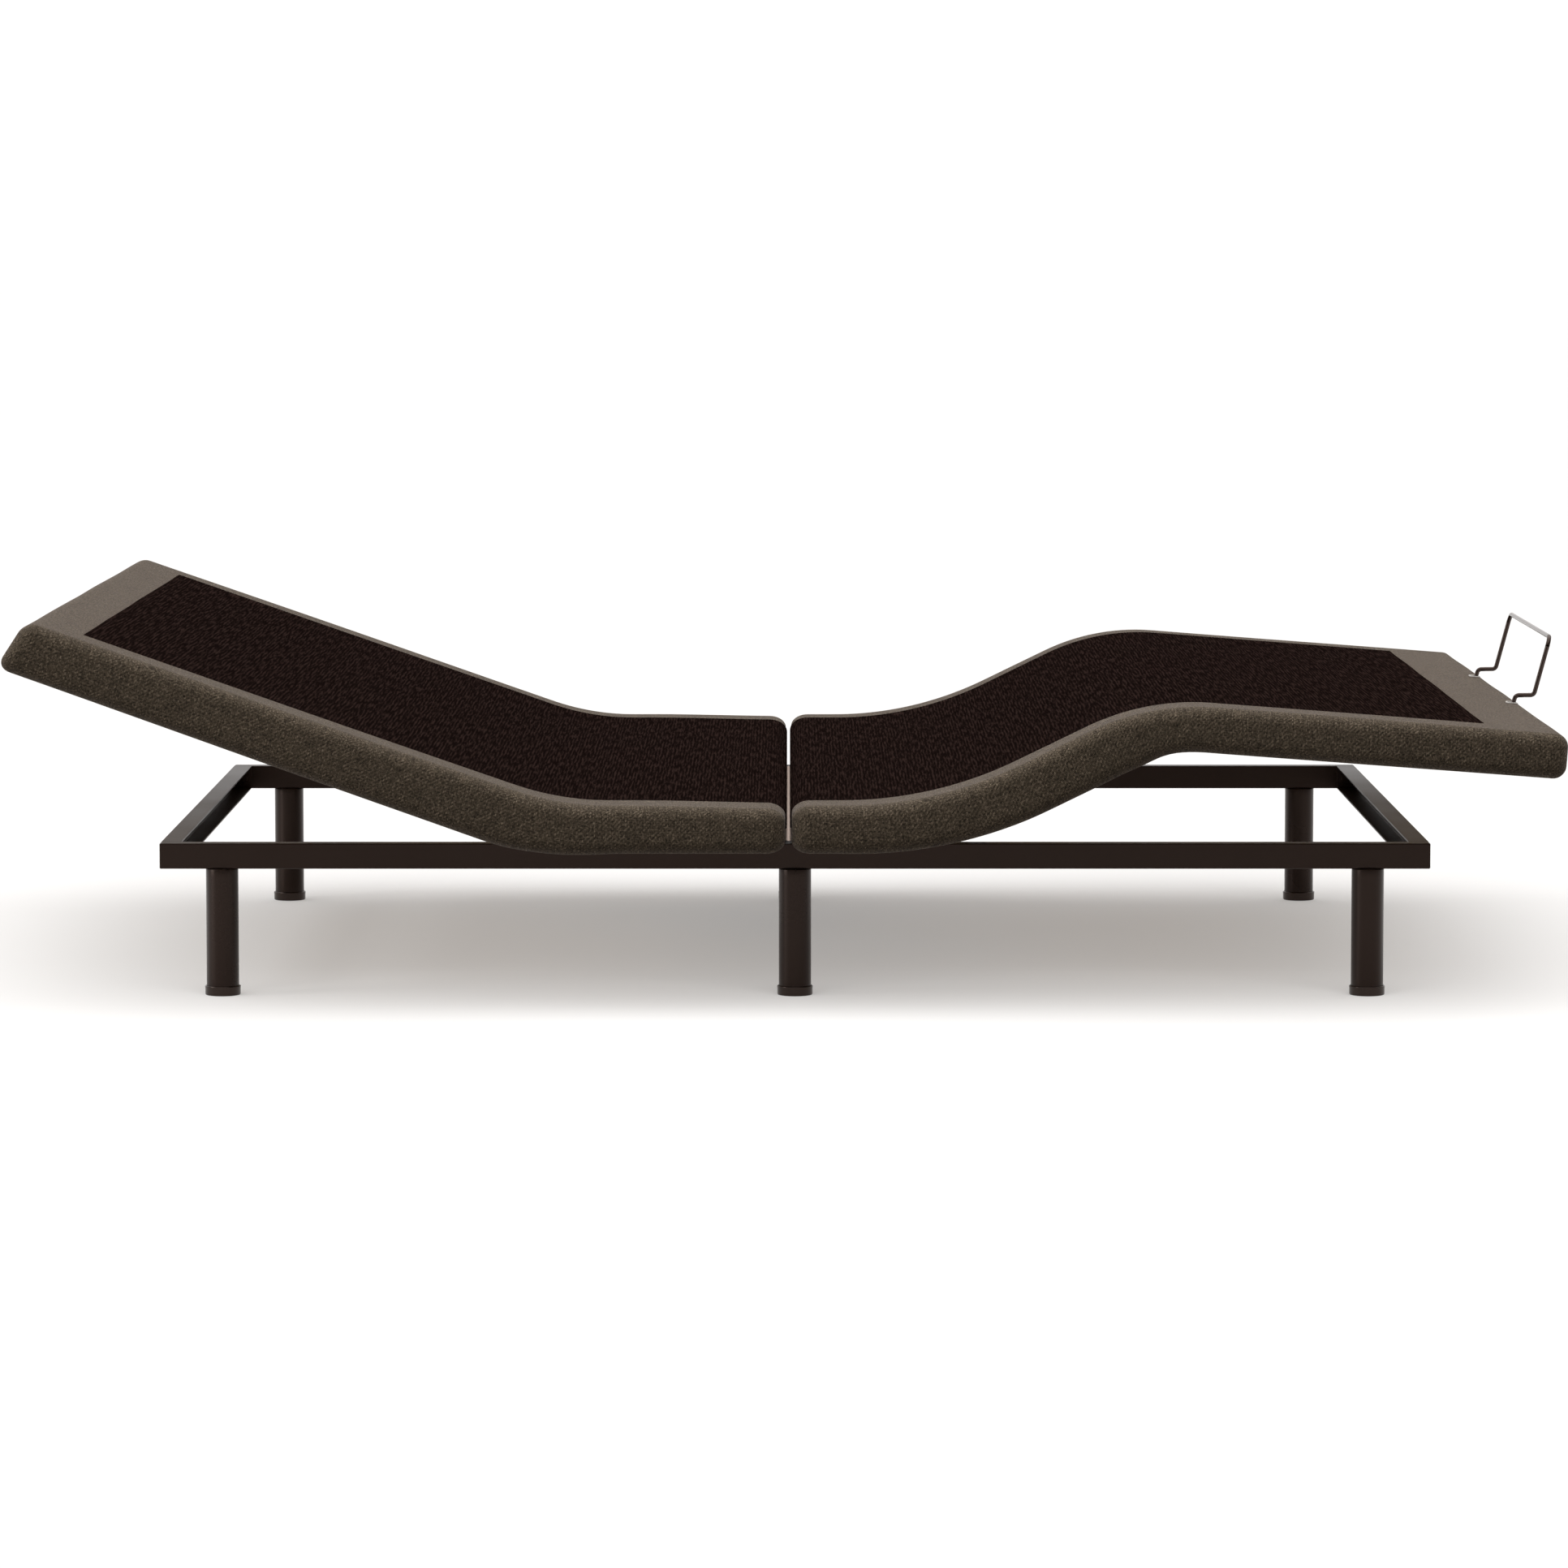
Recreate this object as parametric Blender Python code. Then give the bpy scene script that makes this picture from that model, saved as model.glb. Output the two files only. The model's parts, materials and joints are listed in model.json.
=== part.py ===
"""Adjustable bed base: a steel frame on six legs that carries a hinged, upholstered deck.

Metres, +Z up, +X towards the foot of the bed, origin on the floor under the frame's centre.
The deck is built raised, as it stands: head up, knees up, foot end nearly level.
"""
import math

import bmesh
import bpy
from mathutils import Vector

# --- Driving dimensions -------------------------------------------------------------------
GAP = 0.0003                      # between pieces that touch
DECK_WIDTH = 1.524
HEAD_LENGTH = 0.716               # lengths along the deck's top; with the split they make 2.032
SEAT_HEAD_LENGTH = 0.290
SPLIT_GAP = 0.006
SEAT_FOOT_LENGTH = 0.184
THIGH_LENGTH = 0.302
FOOT_LENGTH = 0.534
SPLIT_X = -0.0084                 # middle of the split between the two deck halves
SEAT_TOP = 0.2615

HEAD_ANGLE = math.radians(19.2)   # slopes of the deck as it stands
THIGH_ANGLE = math.radians(26.0)
FOOT_ANGLE = math.radians(4.4)
HEAD_MAX = math.radians(60.0)     # steepest slopes, from flat
THIGH_MAX = math.radians(42.0)
KNEE_MAX = (THIGH_ANGLE + FOOT_ANGLE) * THIGH_MAX / THIGH_ANGLE

FOAM = 0.030                      # padding above the boards
BOARD = 0.012
SKIRT = 0.020                     # thickness of the padded sides
HEAD_DEPTH = 0.068                # depth of each section's padded sides
SEAT_DEPTH = 0.061
THIGH_DEPTH = 0.065
FOOT_DEPTH = 0.058
KNEE_DEPTH = 0.050                # knee pivot below the deck's top
HEAD_END_SLANT = 0.0155           # how far the head end's lower edge stands out
HINGE_CLEARANCE = 0.0006
ROUND = 0.016                     # rounding of the pads' ends

BASE_LENGTH = 1.648
BASE_WIDTH = 1.195
RAIL_TOP = 0.1985
RAIL_HEIGHT = 0.033
RAIL_WIDTH = 0.026
WALL = 0.002
CROSS_RAILS = {"cross_rail_head_side": -0.100, "cross_rail_centre": SPLIT_X,
               "cross_rail_foot_side": 0.098}

LEG_X = {"head": -0.744, "middle": 0.0, "foot": 0.744}
LEG_RADIUS = 0.0210
LEG_WALL = 0.003
CAP_RADIUS = 0.0233
CAP_HEIGHT = 0.0125
CAP_SOLE = 0.003
STUD_RADIUS = 0.005
STUD_LENGTH = 0.018                # above the leg, inside the rail

BEARER_Y = (0.505, 0.535)         # the section frames' long tubes, front and back
BEARER_HEIGHT = 0.020
BEARER_INSET = 0.030              # from the padding at the deck's ends
EAR_THICKNESS = 0.005
EAR_RADIUS = 0.010
KNEE_EAR_RADIUS = 0.0072
PIN_RADIUS = 0.005
KNEE_PIN_RADIUS = 0.004
BOLT_RADIUS = 0.006
BOLT_SPREAD = 0.0165              # of the hinge brackets' two bolts, each side of the middle
BRACKET_HALF = 0.026
PIN_ROOM = 0.0005                 # between a pin and its hole, on the radius

ROD_RADIUS = 0.011
SPINDLE_RADIUS = 0.005
TUBE_RADIUS = 0.018
DRIVE_ARM = 0.1003                # lever length, pivot to pin
HOUSING = (0.060, 0.060, 0.050)   # length along the rod, width across the bed, height
HOUSING_NEAR = 0.028              # clevis pin to the housing
LUG_RADIUS = 0.012
MOTOR_RADIUS = 0.024
MOTOR_LENGTH = 0.095
CLEVIS_PIN_RADIUS = 0.006
YOKE_HALF = 0.017
LINK_Y = 0.120                    # where the foot link hangs, across the bed
LINK_RADIUS = 0.010               # of the link's round ends
LINK_THICKNESS = 0.006
LINK_PIN = (0.010, -0.045)        # the foot section's link pin, from the knee pivot

BATTEN_HALF = 0.018               # half the width of the battens under the seat boards
BATTEN_REACH = 0.700              # half their length
RETAINER_RADIUS = 0.003
RETAINER_HALF = 0.245             # half its width, between the rod's centres
RETAINER_FOOT = -0.030            # its feet in the board, from the deck's end
MASSAGE_RADIUS = 0.050
HEAD_MASSAGE_X = -0.340           # from the section's pivot
HEAD_MASSAGE_HEIGHT = 0.040
FOOT_MASSAGE_X = 0.230
FOOT_MASSAGE_HEIGHT = 0.034
CONTROL_BOX = ((-0.260, -0.130), (0.380, 0.500))  # X and Y ranges
CONTROL_BOX_HEIGHT = 0.041
POWER_SUPPLY = ((0.007, 0.083), (0.330, 0.490))
POWER_SUPPLY_HEIGHT = 0.044

# --- Places worked out from the dimensions -----------------------------------------------
HALF_WIDTH = DECK_WIDTH / 2
RAIL_BOTTOM = RAIL_TOP - RAIL_HEIGHT
RAIL_Y = (BASE_WIDTH - RAIL_WIDTH) / 2
PIVOT_Z = SEAT_TOP - FOAM
SPLIT_HEAD_X = SPLIT_X - SPLIT_GAP / 2
SPLIT_FOOT_X = SPLIT_X + SPLIT_GAP / 2
HEAD_OFFSET = FOAM * math.tan(HEAD_ANGLE / 2)     # pivot to the bend line, along the deck
THIGH_OFFSET = FOAM * math.tan(THIGH_ANGLE / 2)
KNEE_OFFSET = KNEE_DEPTH * math.tan((THIGH_ANGLE + FOOT_ANGLE) / 2)
HEAD_PIVOT_X = SPLIT_HEAD_X - SEAT_HEAD_LENGTH - HEAD_OFFSET
THIGH_PIVOT_X = SPLIT_FOOT_X + SEAT_FOOT_LENGTH + THIGH_OFFSET
HEAD_REACH = HEAD_LENGTH + HEAD_OFFSET            # pivot to the far end, at the top
KNEE_REACH = THIGH_LENGTH + THIGH_OFFSET - KNEE_OFFSET
KNEE_DROP = KNEE_DEPTH - FOAM                     # knee pivot below the thigh pivot's level
FOOT_REACH = FOOT_LENGTH - KNEE_OFFSET
INNER_HALF = HALF_WIDTH - SKIRT                   # inside the padded sides
UNDER_BOARD = -BOARD - 2 * GAP                    # top of the head and thigh frames, from the pivot
UNDER_FOOT_BOARD = KNEE_DEPTH - FOAM + UNDER_BOARD


# --- Materials -------------------------------------------------------------------------------
def material(name, colour, roughness, metallic=0.0):
    made = bpy.data.materials.new(name)
    made.use_nodes = True
    shader = made.node_tree.nodes["Principled BSDF"]
    shader.inputs["Base Color"].default_value = (*colour, 1.0)
    shader.inputs["Roughness"].default_value = roughness
    shader.inputs["Metallic"].default_value = metallic
    made.diffuse_color = (*colour, 1.0)
    return made


# --- Mesh helpers ----------------------------------------------------------------------------
def place(name, mesh, look, parent, at, turn=(0, 0, 0), tool=False):
    """Puts a mesh in the scene; a tool only shapes another object and is left out."""
    made = bpy.data.objects.new(name, mesh)
    bpy.context.collection.objects.link(made)
    made.parent = parent
    made.location = at
    made.rotation_euler = turn
    if look:
        mesh.materials.append(look)
    if tool:
        made.hide_render = True
        made.display_type = "WIRE"
    return made


def empty(name, at, turn=0.0, parent=None):
    """A joint or mounting point, turned about Y."""
    made = bpy.data.objects.new(name, None)
    bpy.context.collection.objects.link(made)
    made.parent = parent
    made.location = at
    made.rotation_euler = (0, turn, 0)
    return made


def prism_mesh(name, outline, y_low, y_high):
    """An outline in X and Z, extruded from y_low to y_high."""
    shape = bmesh.new()
    corners = [shape.verts.new((x, y_low, z)) for x, z in outline]
    face = shape.faces.new(corners)
    grown = bmesh.ops.extrude_face_region(shape, geom=[face])
    moved = [item for item in grown["geom"] if isinstance(item, bmesh.types.BMVert)]
    bmesh.ops.translate(shape, verts=moved, vec=(0, y_high - y_low, 0))
    bmesh.ops.recalc_face_normals(shape, faces=shape.faces)
    mesh = bpy.data.meshes.new(name)
    shape.to_mesh(mesh)
    shape.free()
    return mesh


def prism(name, outline, y_range, look, parent=None, at=(0, 0, 0), tool=False):
    return place(name, prism_mesh(name, outline, *y_range), look, parent, at, tool=tool)


def box(name, x_range, y_range, z_range, look, parent=None, at=(0, 0, 0), tool=False):
    outline = [(x_range[0], z_range[0]), (x_range[1], z_range[0]),
               (x_range[1], z_range[1]), (x_range[0], z_range[1])]
    return prism(name, outline, y_range, look, parent, at, tool)


def cylinder(name, radius, span, axis, centre, look, parent=None, tool=False, sides=20,
             end_radius=None):
    """A round bar or cone along one axis; span is its two ends and centre its other two places."""
    shape = bmesh.new()
    bmesh.ops.create_cone(shape, cap_ends=True, segments=sides, radius1=radius,
                          radius2=radius if end_radius is None else end_radius,
                          depth=span[1] - span[0])
    mesh = bpy.data.meshes.new(name)
    shape.to_mesh(mesh)
    shape.free()
    middle = (span[0] + span[1]) / 2
    turns = {"X": (0, math.pi / 2, 0), "Y": (-math.pi / 2, 0, 0), "Z": (0, 0, 0)}
    places = {"X": (middle, *centre), "Y": (centre[0], middle, centre[1]), "Z": (*centre, middle)}
    mesh.shade_smooth()
    mesh.set_sharp_from_angle(angle=math.radians(40))
    return place(name, mesh, look, parent, places[axis], turns[axis], tool)


def boolean(body, tool, operation):
    step = body.modifiers.new(tool.name, "BOOLEAN")
    step.operation = operation
    step.object = tool
    step.solver = "EXACT"


def add(body, *tools):
    for tool in tools:
        boolean(body, tool, "UNION")
    return body


def cut(body, *tools):
    for tool in tools:
        boolean(body, tool, "DIFFERENCE")
    return body


def arc(centre, radius, start, end, steps):
    """Points round an arc in X and Z; angles in degrees, from +X towards +Z."""
    angles = [math.radians(start + (end - start) * i / steps) for i in range(steps + 1)]
    return [(centre[0] + radius * math.cos(a), centre[1] + radius * math.sin(a)) for a in angles]


def mirrored(outline, sign):
    """The outline as it is, or turned over in X."""
    return outline if sign > 0 else [(-x, z) for x, z in reversed(outline)]


# --- Base frame -------------------------------------------------------------------------------
def side_rail(name, side, look):
    """A rectangular tube along the bed, with holes for the leg studs."""
    low = side * RAIL_Y - RAIL_WIDTH / 2
    rail = box(name, (-BASE_LENGTH / 2, BASE_LENGTH / 2), (low, low + RAIL_WIDTH),
               (RAIL_BOTTOM, RAIL_TOP), look)
    bore = box(name + "_bore", (-BASE_LENGTH, BASE_LENGTH), (low + WALL, low + RAIL_WIDTH - WALL),
               (RAIL_BOTTOM + WALL, RAIL_TOP - WALL), None, tool=True)
    cut(rail, bore)
    for place_name, x in LEG_X.items():
        cut(rail, cylinder(f"{name}_stud_hole_{place_name}", STUD_RADIUS + 0.0005,
                           (RAIL_BOTTOM - 0.01, RAIL_BOTTOM + 0.01), "Z",
                           (x, side * RAIL_Y), None, tool=True, sides=12))
    return rail


def end_rail(name, side, look):
    """A channel across the bed, open inwards, with an angle bracket welded in at each end."""
    half = RAIL_Y - RAIL_WIDTH / 2 - GAP
    outer = side * BASE_LENGTH / 2
    inner = outer - side * RAIL_WIDTH
    channel = box(name, sorted((outer, inner)), (-half, half), (RAIL_BOTTOM, RAIL_TOP), look)
    web = outer - side * WALL
    beyond = inner - side * WALL
    cut(channel, box(name + "_hollow", sorted((web, beyond)), (-1, 1),
                     (RAIL_BOTTOM + WALL, RAIL_TOP - WALL), None, tool=True))
    for end in (-1, 1):
        plate = box(f"{name}_end_plate_{end}", sorted((web + side * 0.0005, inner)),
                    sorted((end * half, end * (half - 0.004))),
                    (RAIL_BOTTOM + 0.001, RAIL_TOP - 0.001), look, tool=True)
        bolt = cylinder(f"{name}_bolt_{end}", 0.007,
                        sorted((end * (half - 0.003), end * (half - 0.010))), "Y",
                        ((web + inner) / 2, (RAIL_BOTTOM + RAIL_TOP) / 2), look, tool=True, sides=6)
        add(channel, plate, bolt)
    return channel


def cross_rail(name, x, look):
    """A rectangular tube between the side rails, flush with them, that carries the seat boards."""
    half = RAIL_Y - RAIL_WIDTH / 2 - GAP
    rail = box(name, (x - RAIL_WIDTH / 2, x + RAIL_WIDTH / 2), (-half, half),
               (RAIL_BOTTOM, RAIL_TOP), look)
    inner = RAIL_WIDTH / 2 - WALL
    return cut(rail, box(name + "_bore", (x - inner, x + inner), (-1, 1),
                         (RAIL_BOTTOM + WALL, RAIL_TOP - WALL), None, tool=True))


def leg(name, x, y, look):
    """A round leg, plugged at the top and tapped for its stud, which goes up into the rail."""
    tube = cylinder(name, LEG_RADIUS, (CAP_SOLE, RAIL_BOTTOM - GAP), "Z", (x, y), look, sides=32)
    bore = cylinder(name + "_bore", LEG_RADIUS - LEG_WALL, (-0.01, RAIL_BOTTOM - 0.020), "Z", (x, y),
                    None, tool=True)
    stud = cylinder(name + "_stud", STUD_RADIUS, (RAIL_BOTTOM - 0.010, RAIL_BOTTOM + STUD_LENGTH),
                    "Z", (x, y), look, tool=True, sides=12)
    return add(cut(tube, bore), stud)


def foot_cap(name, x, y, look):
    """A plastic cup pushed over the leg's end, with a wider rim on top."""
    cup = cylinder(name, CAP_RADIUS - 0.001, (0, CAP_HEIGHT), "Z", (x, y), look, sides=32,
                   end_radius=CAP_RADIUS)
    socket = cylinder(name + "_socket", LEG_RADIUS + GAP, (CAP_SOLE - GAP, CAP_HEIGHT + 0.01), "Z",
                      (x, y), None, tool=True, sides=32)
    return cut(cup, socket)


def base_frame(steel, plastic):
    for side, word in ((-1, "front"), (1, "back")):
        side_rail("side_rail_" + word, side, steel)
        for place_name, x in LEG_X.items():
            leg(f"leg_{place_name}_{word}", x, side * RAIL_Y, steel)
            foot_cap(f"foot_cap_{place_name}_{word}", x, side * RAIL_Y, plastic)
    end_rail("end_rail_head", -1, steel)
    end_rail("end_rail_foot", 1, steel)
    return {name: cross_rail(name, x, steel) for name, x in CROSS_RAILS.items()}


# --- Upholstered sections ----------------------------------------------------------------------
def tray(name, outline, recess_x, recess_z, look, parent, at=(0, 0, 0)):
    """A pad with sides that hang round its board: the outline across the bed, hollowed below."""
    pad = prism(name, outline, (-HALF_WIDTH, HALF_WIDTH), look, parent, at)
    return cut(pad, box(name + "_recess", recess_x, (-INNER_HALF, INNER_HALF), recess_z, None,
                        parent, at, tool=True))


def hinge_pockets(bodies, x_range, z_range, parent, at=(0, 0, 0)):
    """Clears the hinge ears out of the boards and pads, near both sides of the bed."""
    for body in bodies:
        for side, word in ((-1, "front"), (1, "back")):
            pocket = box(f"{body.name}_pocket_{word}", x_range,
                         sorted((side * (BEARER_Y[1] - 0.002), side * (BEARER_Y[1] + 0.020))),
                         z_range, None, parent, at, tool=True)
            cut(body, pocket)


def head_section(joint, fabric, wood):
    slant = -FOAM * math.tan(HEAD_MAX / 2 + 0.01)
    outline = [(-HINGE_CLEARANCE, FOAM - HEAD_DEPTH), (-HINGE_CLEARANCE, 0),
               (slant, FOAM)] + arc((-HEAD_REACH + ROUND, FOAM - ROUND), ROUND, 90, 165, 4)
    outline.append((-HEAD_REACH - HEAD_END_SLANT, FOAM - HEAD_DEPTH))
    recess_end = -HEAD_REACH + SKIRT
    pad = tray("head_pad", outline, (recess_end, 0.01), (-1, 0), fabric, joint)
    board = box("head_board", (recess_end + GAP, -0.001),
                (-INNER_HALF + GAP, INNER_HALF - GAP), (-BOARD - GAP, -GAP), wood,
                joint)
    hinge_pockets((pad, board), (-0.030, 0.01), (-0.1, EAR_RADIUS + 0.003), joint)
    return pad, board


def seat_section(name, pivot_x, split_x, rail_x, bend_slant, fabric, wood):
    """Half of the fixed seat; two battens under its board rest on the rails."""
    sign = 1 if split_x > pivot_x else -1
    at = (pivot_x, 0, PIVOT_Z)
    length = abs(split_x - pivot_x)
    clearance = 0.004
    points = [(HINGE_CLEARANCE, FOAM - SEAT_DEPTH), (HINGE_CLEARANCE, 0), (bend_slant, FOAM)]
    points += arc((length - ROUND, FOAM - ROUND), ROUND, 90, 0, 4)
    points += [(length, FOAM - SEAT_DEPTH + clearance)]
    points += [(length - clearance, FOAM - SEAT_DEPTH)]
    recess = sorted((-0.01 * sign, sign * (length - SKIRT)))
    pad = tray(name + "_pad", mirrored(points, sign), recess, (-1, 0), fabric, None, at)
    far = length - SKIRT - GAP
    board = box(name + "_board", sorted((sign * 0.001, sign * far)),
                (-INNER_HALF + GAP, INNER_HALF - GAP), (-BOARD - GAP, -GAP), wood, None, at)
    over_rail = sign * (rail_x - pivot_x)
    spans = ((over_rail - BATTEN_HALF, over_rail + BATTEN_HALF), (far - 2 * BATTEN_HALF, far))
    for word, span in zip(("middle", "end"), spans):
        add(board, box(f"{name}_batten_{word}", sorted(sign * x for x in span),
                       (-BATTEN_REACH, BATTEN_REACH), (RAIL_TOP + GAP - PIVOT_Z, -BOARD), wood,
                       None, at, tool=True))
    hinge_pockets((pad, board), sorted((-0.01 * sign, 0.030 * sign)), (-0.1, EAR_RADIUS + 0.003),
                  None, at)
    return pad, board


def thigh_section(joint, fabric, wood):
    top_near = FOAM * math.tan(THIGH_MAX / 2 + 0.01)
    depth_below = THIGH_DEPTH - KNEE_DEPTH
    far = KNEE_REACH - HINGE_CLEARANCE
    outline = [(HINGE_CLEARANCE, FOAM - THIGH_DEPTH), (HINGE_CLEARANCE, 0), (top_near, FOAM),
               (far, FOAM), (far, -KNEE_DROP),
               (far - depth_below * math.tan(KNEE_MAX / 2 + 0.01), FOAM - THIGH_DEPTH)]
    pad = tray("thigh_pad", outline, (-0.01, KNEE_REACH + 0.01), (-1, 0), fabric, joint)
    board = box("thigh_board", (0.001, far - 0.0005),
                (-INNER_HALF + GAP, INNER_HALF - GAP), (-BOARD - GAP, -GAP), wood,
                joint)
    hinge_pockets((pad, board), (-0.01, 0.030), (-0.1, EAR_RADIUS + 0.003), joint)
    return pad, board


def foot_section(joint, fabric, wood):
    """Modelled about the knee pivot, so its top is KNEE_DEPTH above it."""
    top = KNEE_DEPTH
    under = top - FOAM
    near_low = (FOOT_DEPTH - top) * math.tan(KNEE_MAX / 2 + 0.01)
    outline = [(HINGE_CLEARANCE + near_low, top - FOOT_DEPTH), (HINGE_CLEARANCE, 0),
               (HINGE_CLEARANCE, top)]
    outline += arc((FOOT_REACH - ROUND, top - ROUND), ROUND, 90, 0, 4)
    outline += arc((FOOT_REACH - ROUND, top - FOOT_DEPTH + ROUND), ROUND, 0, -90, 4)
    recess_end = FOOT_REACH - SKIRT
    pad = tray("foot_pad", outline, (-0.01, recess_end), (-1, under), fabric, joint)
    board = box("foot_board", (0.001, recess_end - GAP),
                (-INNER_HALF + GAP, INNER_HALF - GAP),
                (under - BOARD - GAP, under - GAP), wood, joint)
    return pad, board


# --- Section frames and hinges -----------------------------------------------------------------
def bearer(name, side, x_range, z_top, look, parent, height=BEARER_HEIGHT, y_range=BEARER_Y):
    """A rectangular tube along the bed, under one side of a section's board."""
    low, high = sorted((side * y_range[0], side * y_range[1]))
    tube = box(name, x_range, (low, high), (z_top - height, z_top), look, parent)
    return cut(tube, box(name + "_bore", (x_range[0] - 0.01, x_range[1] + 0.01),
                         (low + WALL, high - WALL), (z_top - height + WALL, z_top - WALL), None,
                         parent, tool=True))


def ear_outline(root, radius):
    """A plate round the origin that reaches to the root's two corners."""
    (x, z_low), (_, z_high) = root
    if x > 0:
        return arc((0, 0), radius, 100, 260, 8) + [(x, z_low), (x, z_high)]
    return [(x, z_high)] + [(x, z_low)] + arc((0, 0), radius, -80, 80, 8)


def ear(name, side, root, y_low, look, parent, at=(0, 0, 0), radius=EAR_RADIUS):
    y_range = sorted((side * y_low, side * (y_low + EAR_THICKNESS)))
    return prism(name, ear_outline(root, radius), y_range, look, parent, at, tool=True)


def pin(name, side, y_range, look, parent, at=(0, 0), radius=PIN_RADIUS, tool=True):
    return cylinder(name, radius, sorted((side * y_range[0], side * y_range[1])), "Y", at, look,
                    parent, tool=tool, sides=16)


def hinge_bracket(name, side, pivot_x, look):
    """Bolted to the inside of a side rail; its plate rises to the pivot and holds the pin."""
    y_plate = BEARER_Y[1] + EAR_THICKNESS + 0.0007
    rail_face = RAIL_Y - RAIL_WIDTH / 2 - GAP
    low = RAIL_BOTTOM + 0.002 - PIVOT_Z
    high = RAIL_TOP - 0.004 - PIVOT_Z
    at = (pivot_x, 0, PIVOT_Z)
    half, shoulder = BRACKET_HALF, high - 0.004
    outline = [(-half, shoulder), (-half, low), (half, low), (half, shoulder)]
    outline += arc((0, 0), EAR_RADIUS, 0, 180, 8)
    plate = prism(name, outline, sorted((side * y_plate, side * (y_plate + EAR_THICKNESS))), look,
                  None, at)
    block = box(name + "_block", (-half, half),
                sorted((side * (y_plate + 0.004), side * rail_face)), (low, high), look, None, at,
                tool=True)
    hinge_pin = pin(name + "_pin", side, (BEARER_Y[1] - 0.001, y_plate + 0.002), look, None,
                    (pivot_x, PIVOT_Z))
    add(plate, block, hinge_pin)
    for x in (-BOLT_SPREAD, BOLT_SPREAD):
        add(plate, cylinder(f"{name}_bolt_{x}", BOLT_RADIUS,
                            sorted((side * (y_plate - 0.006), side * (y_plate + 0.003))), "Y",
                            (pivot_x + x, PIVOT_Z + low + 0.011), look, tool=True, sides=6))
    return plate


def hinge_hole(name, side, parent, at=(0, 0), radius=PIN_RADIUS):
    return pin(name, side, (BEARER_Y[0], BEARER_Y[1] + 0.05), None, parent, at, radius + PIN_ROOM)


def section_frames(head, thigh, foot, look):
    top = UNDER_BOARD
    for side, word in ((-1, "front"), (1, "back")):
        far = -HEAD_REACH + SKIRT + BEARER_INSET
        tube = bearer("head_bearer_" + word, side, (far, -0.024), top, look, head)
        name = tube.name
        add(tube, ear(name + "_ear", side, ((-0.029, top - BEARER_HEIGHT), (-0.029, top)),
                      BEARER_Y[1] - GAP, look, head))
        cut(tube, hinge_hole(name + "_hole", side, head))

        tube = bearer("thigh_bearer_" + word, side, (0.024, KNEE_REACH - 0.020), top, look, thigh)
        name = tube.name
        add(tube, ear(name + "_ear", side, ((0.029, top - BEARER_HEIGHT), (0.029, top)),
                      BEARER_Y[1] - GAP, look, thigh))
        cut(tube, hinge_hole(name + "_hole", side, thigh))
        knee = (KNEE_REACH, 0, -KNEE_DROP)
        root = ((-0.050, top - BEARER_HEIGHT + KNEE_DROP), (-0.050, top + KNEE_DROP))
        add(tube, ear(name + "_knee_ear", side, root, BEARER_Y[1] - GAP, look, thigh, knee,
                      KNEE_EAR_RADIUS))
        cut(tube, hinge_hole(name + "_knee_hole", side, thigh, (KNEE_REACH, -KNEE_DROP),
                              KNEE_PIN_RADIUS))

        board_under = UNDER_FOOT_BOARD
        y_range = (BEARER_Y[0] + 0.006, BEARER_Y[1] + 0.006)
        height = board_under - (KNEE_DEPTH - FOOT_DEPTH) - 0.001
        tube = bearer("foot_bearer_" + word, side, (0.016, FOOT_REACH - SKIRT - BEARER_INSET),
                      board_under, look, foot, height, y_range)
        name = tube.name
        add(tube, ear(name + "_ear", side, ((0.050, board_under - height), (0.050, board_under)),
                      y_range[1] - GAP, look, foot, radius=KNEE_EAR_RADIUS),
            pin(name + "_pin", side, (BEARER_Y[1] - 0.002, y_range[1] + 0.002), look, foot,
                radius=KNEE_PIN_RADIUS))


def lever(name, joint, sign, half_range, y, look):
    """A cross tube under the section's board, and the forked lever that its actuator pushes."""
    top = UNDER_BOARD
    low = top - BEARER_HEIGHT
    x_range = sorted((sign * 0.036, sign * 0.061))
    inner = BEARER_Y[0] - GAP
    cross = box(name, x_range, (-inner, inner), (low, top), look, joint)
    cut(cross, box(name + "_bore", (x_range[0] + WALL, x_range[1] - WALL), (-1, 1),
                   (low + WALL, top - WALL), None, joint, tool=True))
    tip = (-sign * DRIVE_ARM * math.sin(half_range), -DRIVE_ARM * math.cos(half_range))
    round_tip = arc((tip[0] * sign, tip[1]), 0.012, 110, 330, 8)
    outline = [(0.062, low + 0.002), (0.034, low + 0.002), (0.010, -0.046)] + round_tip
    for fork, y_low in (("near", 0.0085), ("far", -0.0145)):
        add(cross, prism(f"{name}_plate_{fork}", mirrored(outline, sign),
                         (y + y_low, y + y_low + 0.006), look, joint, tool=True))
    add(cross, cylinder(name + "_pin", PIN_RADIUS, (y - 0.014, y + 0.014), "Y", tip, look, joint,
                        tool=True, sides=16))
    return cross


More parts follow.
